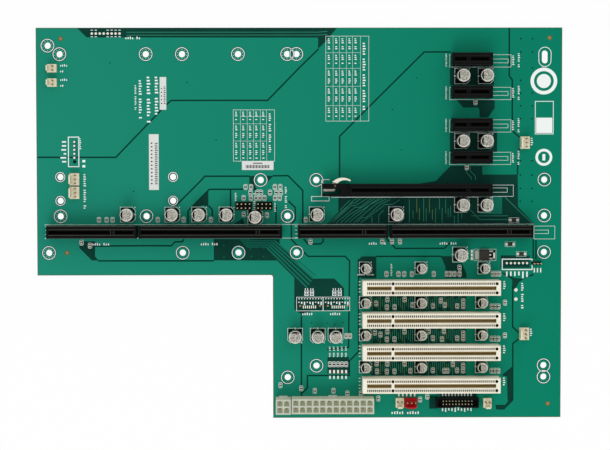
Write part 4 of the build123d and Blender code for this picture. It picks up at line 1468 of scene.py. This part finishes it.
@dataclass
class Ink:
    """White printed lines, rings and plain marks."""

    line: float = 0.35
    thin: float = 0.2
    ring_inner: float = 3.78
    ring_outer: float = 4.21
    keep_off: float = 0.6
    low: float = SURFACE - 0.01
    high: float = SURFACE + Layer.INK.value

    def build(self) -> None:
        """Make the ink in a few thin pieces."""
        nodes = (
            "chip_capacitors", "chip_resistors", "large_capacitor_bases", "small_capacitor_bases",
            "pin_header_blocks", "paper_labels", "transistors", "indicator_lamps",
        )
        self.parts = [box for node in nodes for box in node_solids(node)] + Chips().added()
        self.lines()
        self.rings()
        self.outlines()
        self.tables()
        self.marks()

    def frame_line(self, sketch: Sketch, x0: float, y0: float, x1: float, y1: float, width: float = 0.0) -> None:
        """Add a rectangle drawn as a line."""
        sketch.strip(rectangle(x0, y0, x1, y1), width or self.line, self.low, self.high, closed=True)

    def is_clear(self, x: float, y: float) -> bool:
        """Say whether a place for print lies off every part and hole ring."""
        on_part = any(
            part.x0 - self.keep_off < x < part.x1 + self.keep_off and part.y0 - self.keep_off < y < part.y1 + self.keep_off
            for part in self.parts
        )
        in_ring = any(math.hypot(x - hole.x, y - hole.y) < self.ring_outer + self.keep_off for hole in MOUNTS)
        return not (on_part or in_ring)

    def words(
        self, sketch: Sketch, x: float, y: float, count: int, size: float, upright: bool = False, skip: int = 5
    ) -> None:
        """Add a row of small plain blocks where the board has print.

        Args:
            sketch: Where they go.
            x: Start along X.
            y: Start along Y.
            count: Number of blocks.
            size: Height of a block.
            upright: Whether the row runs down the board.
            skip: Every so many blocks, one is left out.
        """
        step = size * 0.82
        wide = size * 0.4
        for index in range(count):
            if (index + 1) % skip == 0:
                continue
            tall = size * (0.64 + 0.28 * ((index * 7) % 3) / 2)
            if upright:
                spot = (x, x + tall, y - index * step - wide, y - index * step)
            else:
                spot = (x + index * step, x + index * step + wide, y, y + tall)
            if self.is_clear((spot[0] + spot[1]) / 2, (spot[2] + spot[3]) / 2):
                sketch.block(*spot, self.low, self.high)

    def lines(self) -> None:
        """Make the lines round the long connectors."""
        sketch = Sketch()
        for height in (-0.5, -9.1):
            sketch.strip([(-160.0, height), (147.0, height)], self.thin, self.low, self.high)
        sketch.strip([(20.0, 16.5), (120.8, 16.5)], self.line, self.low, self.high)
        self.frame_line(sketch, 147.3, -9.9, 160.4, -1.8, self.thin)
        sketch.strip([(147.6, -4.3), (156.4, -4.3), (156.4, -6.5), (147.6, -6.5)], self.thin, self.low, self.high)
        self.frame_line(sketch, 120.8, 16.9, 134.2, 24.0, self.thin)
        sketch.strip([(120.9, 19.5), (130.4, 19.5), (130.4, 22.2), (120.9, 22.2)], self.thin, self.low, self.high)
        sketch.strip([(13.8, 27.4), (13.8, 17.2)], self.line, self.low, self.high)
        self.frame_line(sketch, 7.5, 14.2, 18.5, 17.0)
        sketch.strip([(14.7, 25.0), (14.7, 27.6), (18.8, 27.6)], self.line, self.low, self.high)
        for number in range(1, 5):
            box = node_box(f"x1_slot_{number}")
            self.frame_line(sketch, box.x0 - 0.8, box.y0 - 0.7, 132.5, box.y1 - 0.7, self.thin)
            top, foot = box.y + 0.5, box.y - 1.9
            bracket = [(box.x1, foot), (130.7, foot), (130.7, top), (box.x1, top)]
            sketch.strip(bracket, self.thin, self.low, self.high)
            for side in (-1, 1):
                self.words(sketch, box.x0 - 3.4, box.y + side * 2.1 + 1.6, 5, 1.0, upright=True, skip=9)
            self.words(sketch, 133.3, box.y + 2.6, 6, 1.3, upright=True, skip=9)
            self.words(sketch, 136.8, box.y + 4.0, 8, 1.4, upright=True, skip=6)
        for place in (-157.5, -101.0, -11.0, -1.0, 55.5, 145.5):
            for step in range(4):
                height = -9.0 + step * 2.4
                sketch.block(place - 1.9, place - 0.4, height, height + 0.35, self.low, self.high)
        sketch.piece("connector_ink", INK)

    def rings(self) -> None:
        """Make the rings round the mounting holes, with a dark band inside each."""
        ink = Sketch()
        band = Sketch()
        dots = Sketch()
        for hole in MOUNTS:
            shift = 0.0
            for x, y in ((-79.4, 13.8), (-79.4, 29.2), (-150.3, 28.5), (-150.3, 13.5)):
                if abs(hole.x - x) < 2.5 and abs(hole.y - y) < 3:
                    shift = 1.1
            ink.ring(hole.x, hole.y, self.ring_inner - shift, self.ring_outer - shift, self.low, self.high, 36)
            for inner, outer in ((self.ring_inner - 0.4, self.ring_inner), (self.ring_outer, self.ring_outer + 0.3)):
                band.ring(hole.x, hole.y, inner - shift, outer - shift, self.low, SURFACE + 0.04, 36)
            dotted = hole.x < -130 or hole.y < -100 or hole.y > 95
            for index in range(10 if dotted else 0):
                turn = 2 * math.pi * (index + 0.5) / 10
                dots.disc(
                    hole.x + 3.0 * math.cos(turn), hole.y + 3.0 * math.sin(turn), 0.2,
                    self.low, SURFACE + Layer.PAD.value, 8,
                )
        slotted = [hole for hole in HOLES if hole.deep > 6][0]
        arc = []
        for index in range(24):
            turn = 2 * math.pi * index / 24
            shift = (slotted.deep - slotted.wide) / 2 * (1 if math.sin(turn) >= 0 else -1)
            radius = slotted.wide / 2 + 2.0
            arc.append((slotted.x + radius * math.cos(turn), slotted.y + shift + radius * math.sin(turn)))
        ink.strip(arc, 0.4, self.low, self.high, closed=True)
        ink.piece("hole_rings", INK)
        band.piece("hole_bands", GAP_LINE, slot="board_green")
        dots.piece("hole_dots", TIN, slot="tinned_pin")

    def outlines(self) -> None:
        """Make the outlines round capacitors and chips."""
        sketch = Sketch()
        for size in ("large", "small"):
            for base in node_solids(f"{size}_capacitor_bases"):
                gap = 0.55
                cut = 1.9
                x0, x1, y0, y1 = base.x0 - gap, base.x1 + gap, base.y0 - gap, base.y1 + gap
                if CanCapacitors().faces_up(base):
                    left = [(x0 + cut, y0), (x0, y0 + cut), (x0, y1), (base.x - 1.0, y1)]
                    right = [(x1 - cut, y0), (x1, y0 + cut), (x1, y1), (base.x + 1.0, y1)]
                    sketch.disc(x1 - 0.6, y0 + 0.2, 0.35, self.low, self.high, 8)
                else:
                    left = [(x1 - cut, y0), (x0, y0), (x0, base.y - 1.0)]
                    right = [(x0, base.y + 1.0), (x0, y1), (x1 - cut, y1), (x1, y1 - cut), (x1, base.y + 1.0)]
                    sketch.strip([(x1, base.y - 1.0), (x1, y0 + cut), (x1 - cut, y0)], 0.25, self.low, self.high)
                    sketch.disc(x1 - 0.2, y1 - 0.2, 0.35, self.low, self.high, 8)
                sketch.strip(left, 0.25, self.low, self.high)
                sketch.strip(right, 0.25, self.low, self.high)
        chips = [box for node in ("chip_capacitors", "chip_resistors") for box in node_solids(node)]
        chips += Chips().added()
        for chip in chips:
            x0, x1, y0, y1 = chip.x0 - 0.45, chip.x1 + 0.45, chip.y0 - 0.65, chip.y1 + 0.65
            corner = 0.45
            path = [
                (x0 + corner, y0), (x1 - corner, y0), (x1, y0 + corner), (x1, y1 - corner),
                (x1 - corner, y1), (x0 + corner, y1), (x0, y1 - corner), (x0, y0 + corner),
            ]
            sketch.strip(path, 0.26, self.low, self.high, closed=True)
        sketch.piece("part_outlines", INK)

    def tables(self) -> None:
        """Make the two printed tables, with plain blocks for their entries."""
        sketch = Sketch()
        low, high = self.low, self.high
        big_columns = (21.1, 25.1, 29.4, 33.2, 38.2)
        big_rows = (106.9, 97.1, 85.9, 73.9)
        self.frame_line(sketch, 16.5, 64.2, 43.4, 117.2, 0.2)
        for x in big_columns:
            sketch.strip([(x, 64.2), (x, 117.2)], 0.14, low, high)
        for y in big_rows:
            sketch.strip([(16.5, y), (38.2, y)], 0.14, low, high)
        edges = (117.2,) + big_rows + (64.2,)
        for x in (16.5,) + big_columns[:-1]:
            for top, foot in zip(edges, edges[1:]):
                self.words(sketch, x + 1.3, top - 1.4, int((top - foot - 2.4) / 1.25), 1.5, upright=True, skip=4)
        self.words(sketch, 39.6, 113.0, 26, 2.0, upright=True, skip=6)
        small_columns = (-37.0, -32.7, -28.8, -24.5, -20.6)
        small_rows = (67.1, 62.6, 51.8)
        self.frame_line(sketch, -41.4, 39.2, -15.6, 71.3, 0.2)
        for x in small_columns:
            sketch.strip([(x, 39.2), (x, 71.3)], 0.14, low, high)
        for y in small_rows:
            sketch.strip([(-37.0 if y > 65 else -41.4, y), (-20.6, y)], 0.14, low, high)
        edges = (71.3, 62.6, 51.8, 39.2)
        for x in (-41.4,) + small_columns[:-1]:
            for top, foot in zip(edges, edges[1:]):
                self.words(sketch, x + 1.2, top - 1.2, int((top - foot - 2.0) / 1.15), 1.4, upright=True, skip=4)
        self.words(sketch, -19.2, 69.0, 20, 1.6, upright=True, skip=5)
        sketch.piece("printed_tables", INK)

    def marks(self) -> None:
        """Make the plain blocks and boxes in the other printed places."""
        sketch = Sketch()
        low, high = self.low, self.high
        for x, y, count, size in (
            (-103.0, 86.7, 16, 1.2), (-100.4, 89.8, 15, 2.0), (-95.4, 92.0, 15, 2.4), (-90.4, 92.0, 14, 2.3),
            (-138.0, 53.6, 7, 1.5), (-135.3, 31.2, 16, 1.7),
        ):
            self.words(sketch, x, y, count, size, upright=True, skip=7)
        self.words(sketch, -108.6, 115.4, 7, 1.7)
        for index in (0, 1, 4, 5, 6, 7):
            for y in (121.0, 116.9):
                sketch.block(-130.2 + index * 17.3 / 7, -128.8 + index * 17.3 / 7, y - 0.2, y + 0.2, low, high)
        for y in (38.6, 35.4):
            sketch.block(-135.9, -134.1, y, y + 1.5, low, high)
        self.frame_line(sketch, -144.6, 35.9, -138.1, 54.4, 0.55)
        for index in range(6):
            y = 51.4 - index * 2.48
            length = (2.6, 2.6, 3.0, 1.6, 3.6, 2.6)[index]
            sketch.block(-146.0 - length, -146.0, y - 0.45, y + 0.45, low, high)
        self.frame_line(sketch, 127.4, -29.1, 146.2, -22.6, 0.6)
        for index in range(6):
            x = 130.3 + index * 2.54
            length = (3.0, 2.8, 2.8, 2.4, 4.2, 3.4)[index]
            sketch.block(x - 0.45, x + 0.45, -30.4 - length, -30.4, low, high)
        for x0, x1 in ((-2.0, 14.6), (14.8, 31.4)):
            self.frame_line(sketch, x0, -54.9, x1, -46.3, 0.25)
            for index in range(9):
                x = x0 + 1.6 + index * 1.75
                sketch.block(x - 0.35, x + 0.35, -47.6, -47.0, low, high)
                sketch.block(x - 0.5, x + 0.3, -49.8 - (index % 3) * 0.7, -49.2, low, high)
        for x in (3.0, 6.4, 20.5, 23.9):
            for shift in (0.0, 1.4):
                for y in (-45.5, -43.6):
                    sketch.block(x + shift, x + shift + 1.1, y, y + 1.6, low, high)
                sketch.block(x + shift + 0.3, x + shift + 0.8, -41.7, -40.7, low, high)
        for index in range(5):
            x = 19.0 + index * 2.53
            self.words(sketch, x - 0.6, -77.6, 7, 1.2, upright=True, skip=4)
            sketch.block(x - 0.5, x + 0.5, -98.0, -96.1, low, high)
        self.words(sketch, 19.1, -57.6, 5, 1.7, skip=9)
        self.words(sketch, 1.6, -57.6, 5, 1.7, skip=9)
        sketch.ring(153.1, 89.1, 6.2, 8.4, low, high, 40)
        sketch.disc(153.1, 89.1, 4.4, low, high, 32)
        self.frame_line(sketch, 147.8, 56.0, 159.1, 76.4, 0.4)
        sketch.block(148.4, 158.5, 56.6, 66.2, low, high)
        sketch.ring(153.3, 41.4, 3.7, 5.3, low, high, 36)
        sketch.block(152.4, 154.2, 39.4, 43.4, low, high)
        for node in ("two_pin_header_1", "two_pin_header_2"):
            box = node_box(node)
            self.words(sketch, box.x1 + 2.0, box.y + 1.2, 4, 1.5)
            self.words(sketch, box.x1 + 2.0, box.y - 2.4, 2, 1.5)
        for node in ("fan_header_3", "fan_header_4"):
            box = node_box(node)
            self.words(sketch, box.x1 + 1.0, box.y + 3.0, 4, 1.6, upright=True)
        for row in range(1, 5):
            box = node_box(f"wide_slot_{row}")
            self.words(sketch, box.x1 + 3.2, box.y + 3.4, 5, 1.7, upright=True, skip=5)
            for side in (-1, 1):
                for step in (1.2, 3.2):
                    y = box.y + side * step
                    sketch.block(box.x0 - 1.9, box.x0 - 0.7, y - 0.2, y + 0.2, low, high)
                    sketch.block(box.x1 + 0.7, box.x1 + 1.9, y - 0.2, y + 0.2, low, high)
        for box in node_solids("transistors"):
            self.frame_line(sketch, box.x0 - 1.7, box.y0 - 0.7, box.x1 + 1.7, box.y1 + 0.7, 0.14)
        for x in (147.6, 149.6, 151.6):
            sketch.block(x - 0.35, x + 0.35, -31.0, -28.2, low, high)
        tab = node_box("regulator_leads")
        self.frame_line(sketch, tab.x0 - 0.7, tab.y0 - 0.8, tab.x1 + 1.9, tab.y1 + 0.8, 0.16)
        self.words(sketch, tab.x0 - 5.2, tab.y1 + 0.6, 7, 1.3, upright=True, skip=9)
        self.words(sketch, 57.2, -25.5, 9, 1.2, upright=True, skip=9)
        self.words(sketch, 36.4, -32.6, 13, 1.0, skip=7)
        for x, y, count in ((-130.0, -13.5, 8), (-62.0, -13.5, 8), (43.5, -13.3, 8), (88.0, -13.3, 8)):
            self.words(sketch, x, y, count, 1.7)
        self.words(sketch, 57.8, -120.3, 12, 2.0, skip=6)
        self.words(sketch, 139.4, -37.6, 12, 1.7, upright=True, skip=5)
        for index in range(5):
            sketch.block(61.9 + index * 2.5, 62.9 + index * 2.5, -109.2, -107.2, low, high)
        header = node_box("box_header")
        for index in range(10):
            x = 90.0 + index * 2.0
            long = (2.2, 2.7, 1.8)[index % 3]
            sketch.block(x - 0.4, x + 0.4, header.y1 + 0.5, header.y1 + 0.5 + long, low, high)
            sketch.block(x - 0.4, x + 0.4, header.y0 - 0.6 - long, header.y0 - 0.6, low, high)
        self.words(sketch, -40.6, 19.3, 7, 1.3, upright=True, skip=9)
        self.words(sketch, -9.2, 23.0, 12, 1.4, upright=True, skip=5)
        self.words(sketch, -29.0, 19.0, 9, 1.5, upright=True, skip=9)
        self.words(sketch, -26.6, 18.2, 8, 1.3, upright=True, skip=9)
        self.words(sketch, -15.9, 13.0, 6, 1.2, upright=True, skip=9)
        sketch.piece("plain_marks", INK)


@dataclass
class PowerSockets:
    """The two power sockets: light falls through their pale nylon into the cells."""

    rim: float = 0.3

    def build(self) -> None:
        """Colour the inside of the cells, face by face."""
        for node in ("main_power_socket", "aux_power_socket"):
            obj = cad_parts[node]
            box = node_box(node)
            for finish in (CELL_WALL, CELL_FLOOR):
                obj.data.materials.append(finish.material())
            for polygon in obj.data.polygons:
                x, y, z = (part / MM for part in polygon.center)
                edges = (x - box.x0, box.x1 - x, y - box.y0, box.y1 - y)
                if polygon.normal.z > 0.7 and z < box.z1 - 3 and min(edges) > 1.2:
                    polygon.material_index = 2
                if abs(polygon.normal.z) < 0.3 and min(edges) > self.rim and z > box.z0 + 2:
                    polygon.material_index = 1


@dataclass
class Details:
    """Bare pads, copper marks, label bars and the tails under the board."""

    low: float = SURFACE - 0.01
    high: float = SURFACE + Layer.PAD.value
    tail: float = 0.3

    def build(self) -> None:
        """Make the small things that the source leaves out."""
        self.pads()
        self.copper()
        self.bars()
        self.tails()

    def pads(self) -> None:
        """Make the pads of the empty header places and of the small parts."""
        pads = Sketch()
        holes = Sketch()
        halo = Sketch()
        bare = Sketch()
        above = self.high + 0.01
        for index in range(6):
            for x, y in ((-140.9, 51.4 - 2.48 * index), (130.3 + 2.54 * index, -25.1)):
                marks = holes if index == 5 and x < 0 else pads
                marks.disc(x, y, 0.72, self.low, above, 14)
                halo.disc(x + 0.2, y, 1.15, self.low, self.high, 14)
        for x0, x1 in ((-2.5, 14.8), (15.6, 32.2)):
            for index in range(7):
                x = x0 + 4.8 + index * 1.27
                pads.block(x - 0.32, x + 0.32, -53.4, -51.6, self.low, self.high)
        for x in (3.0, 6.4, 20.5, 23.9):
            for y in (-44.6, -42.6):
                holes.block(x + 0.4, x + 1.0, y - 0.4, y + 0.4, self.low, SURFACE + Layer.INK.value + 0.01)
                holes.block(x + 1.5, x + 2.1, y - 0.4, y + 0.4, self.low, SURFACE + Layer.INK.value + 0.01)
        for box in node_solids("transistors"):
            for side in (-1, 1):
                middle = box.x + side * (box.wide / 2 + 0.5)
                pads.block(middle - 0.9, middle + 0.9, box.y - 0.8, box.y + 0.8, self.low, SURFACE + 0.5)
        tab = node_box("regulator_leads")
        holes.block(tab.x1 - 2.6, tab.x1 + 1.4, tab.y - 2.9, tab.y + 2.9, self.low, self.high)
        pads.block(tab.x1 + 0.2, tab.x1 + 1.2, tab.y - 2.2, tab.y + 1.4, self.low, above)
        for step in range(3):
            y = tab.y + (step - 1) * 2.3
            pads.block(tab.x1 - 2.2, tab.x1 - 1.2, y - 0.5, y + 0.5, self.low, above)
            pads.block(tab.x0 - 2.6, tab.x0 - 1.4, y - 0.9, y + 0.9, self.low, self.high)
        for y in (-42.0, -47.8):
            pads.disc(136.1, y, 1.1, self.low, above, 16)
        for x, y in ((-149.0, 115.7), (156.6, 116.1), (-145.9, -18.1), (156.5, -113.9)):
            bare.disc(x, y, 1.5, self.low, self.high - 0.01, 16)
        for index in range(8):
            pads.disc(-129.5 + index * 17.3 / 7, 118.9, 0.8, self.low, above, 12)
        halo.piece("pad_halos", GAP_LINE, slot="board_green")
        bare.piece("bare_rings", BARE_RING)
        pads.piece("bare_pads", TIN, slot="tinned_pin")
        # Black fill in the pad holes: painted shade for their dark inside.
        holes.piece("pad_holes", CAN_MARK_AND_HOLE_SHADE)

    def copper(self) -> None:
        """Make the round copper marks at the corners, the plated row and the pink pegs' places."""
        sketch = Sketch()
        for x, y in ((-149.0, 115.7), (156.6, 116.1), (-145.9, -18.1), (156.5, -113.9)):
            sketch.disc(x, y, 0.75, self.low, self.high, 16)
        for x in (0.3, 12.7, 17.6, 30.1):
            sketch.disc(x, -51.8, 0.6, self.low, self.high, 16)
        sketch.piece("copper_marks", COPPER)

    def bars(self) -> None:
        """Put plain bars on the paper labels."""
        sketch = Sketch()
        for box in node_solids("paper_labels"):
            low, high = box.z1 - 0.01, box.z1 + 0.01
            if box.wide > box.deep:
                for index in range(24):
                    x = box.x0 + 2.4 + index * (box.wide - 4.8) / 24
                    sketch.block(x, x + (0.28, 0.5, 0.36)[index % 3], box.y0 + 1.1, box.y0 + 3.1, low, high)
                sketch.block(box.x - 3.0, box.x + 3.0, box.y1 - 1.5, box.y1 - 0.9, low, high)
                continue
            for index in range(int((box.deep - 8.0) / 1.15)):
                y = box.y0 + 3.6 + index * 1.15
                reach = (0.29, 0.25, 0.31, 0.27)[index % 4] * box.wide
                sketch.block(box.x + 0.1 * box.wide, box.x + 0.1 * box.wide + reach, y, y + 0.55, low, high)
                if index % 2 == 0:
                    sketch.block(box.x - 0.31 * box.wide, box.x - 0.14 * box.wide, y, y + 0.8, low, high)
        sketch.piece("label_print", PRINT)

    def tails(self) -> None:
        """Make the soldered tails under the card connectors and the can capacitors' side."""
        tail = Sketch()
        tail.prism(circle(0, 0, 0.55, 8), 0.9, 1.42, circle(0, 0, 0.75, 8))
        tail.block(-self.tail, self.tail, -self.tail, self.tail, 0.1, 1.0)
        places = []
        names = [f"host_slot_{number}" for number in range(1, 5)] + ["x16_slot"]
        names += [f"x1_slot_{number}" for number in range(1, 5)]
        for name in names:
            box = node_box(name)
            for index in range(int((box.wide - 5) / 2) + 1):
                for row, y in enumerate((-2.9, -1.1, 1.1, 2.9)):
                    places.append((box.x0 + 2.2 + index * 2.0 + row % 2, box.y + y, 0.0, 0.0))
        for number in range(1, 5):
            box = node_box(f"wide_slot_{number}")
            for index in range(62):
                if index in (11, 12):
                    continue
                for y in (-3.8, -1.3, 1.3, 3.8):
                    places.append((box.x0 + 4.2 + index * 1.27, box.y + y, 0.0, 0.0))
        Pattern("soldered_tails", TIN, "tinned_pin").scatter(tail, places)


PLAIN_FINISHES = (
    ("host_slot", BLACK),
    ("x16_slot", BLACK),
    ("x1_slot", BLACK),
    ("wide_slot", IVORY),
    ("host_contacts", GOLD),
    ("x16_contacts", GOLD),
    ("x1_contacts", GOLD),
    ("wide_contacts", GOLD),
    ("latch_bracket", BLACK),
    ("latch_pin", STEEL),
    ("latch_lever", IVORY),
    ("main_power_socket", SOCKET),
    ("aux_power_socket", SOCKET),
    ("main_power_pins", SOCKET_PIN_GLOW),
    ("aux_power_pins", SOCKET_PIN_GLOW),
    ("fan_header", CREAM),
    ("two_pin_header", CREAM),
    ("red_header", RED),
    ("wafer_header_pins", WAFER_PIN),
    ("box_header", BLACK),
    ("box_header_pins", PALE_GOLD),
    ("pin_header_blocks", BLACK),
    ("bare_header_pins", PALE_GOLD),
    ("large_capacitor_bases", BASE),
    ("small_capacitor_bases", BASE),
    ("large_capacitor_cans", CAN),
    ("small_capacitor_cans", CAN),
    ("chip_capacitors", CHIP),
    ("chip_resistors", RESISTOR),
    ("indicator_lamps", LAMP),
    ("regulator_leads", TAB),
    ("regulator_body", MOULD),
    ("transistors", MOULD),
    ("paper_labels", PAPER),
)


# Main


def main() -> None:
    """Build every part of the scene."""
    logging.basicConfig(level=logging.INFO, format="%(message)s")
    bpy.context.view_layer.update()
    bpy.context.scene.view_settings.view_transform = "Standard"
    Studio().build()
    BareBoard().build()
    Fields().build()
    Ink().build()
    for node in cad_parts:
        for start, finish in PLAIN_FINISHES:
            if node.startswith(start):
                dress(node, finish)
    WideConnectors().build()
    FineConnectors().build()
    CanCapacitors().build()
    Chips().build()
    PowerSockets().build()
    Details().build()


if __name__ == "__main__":
    main()
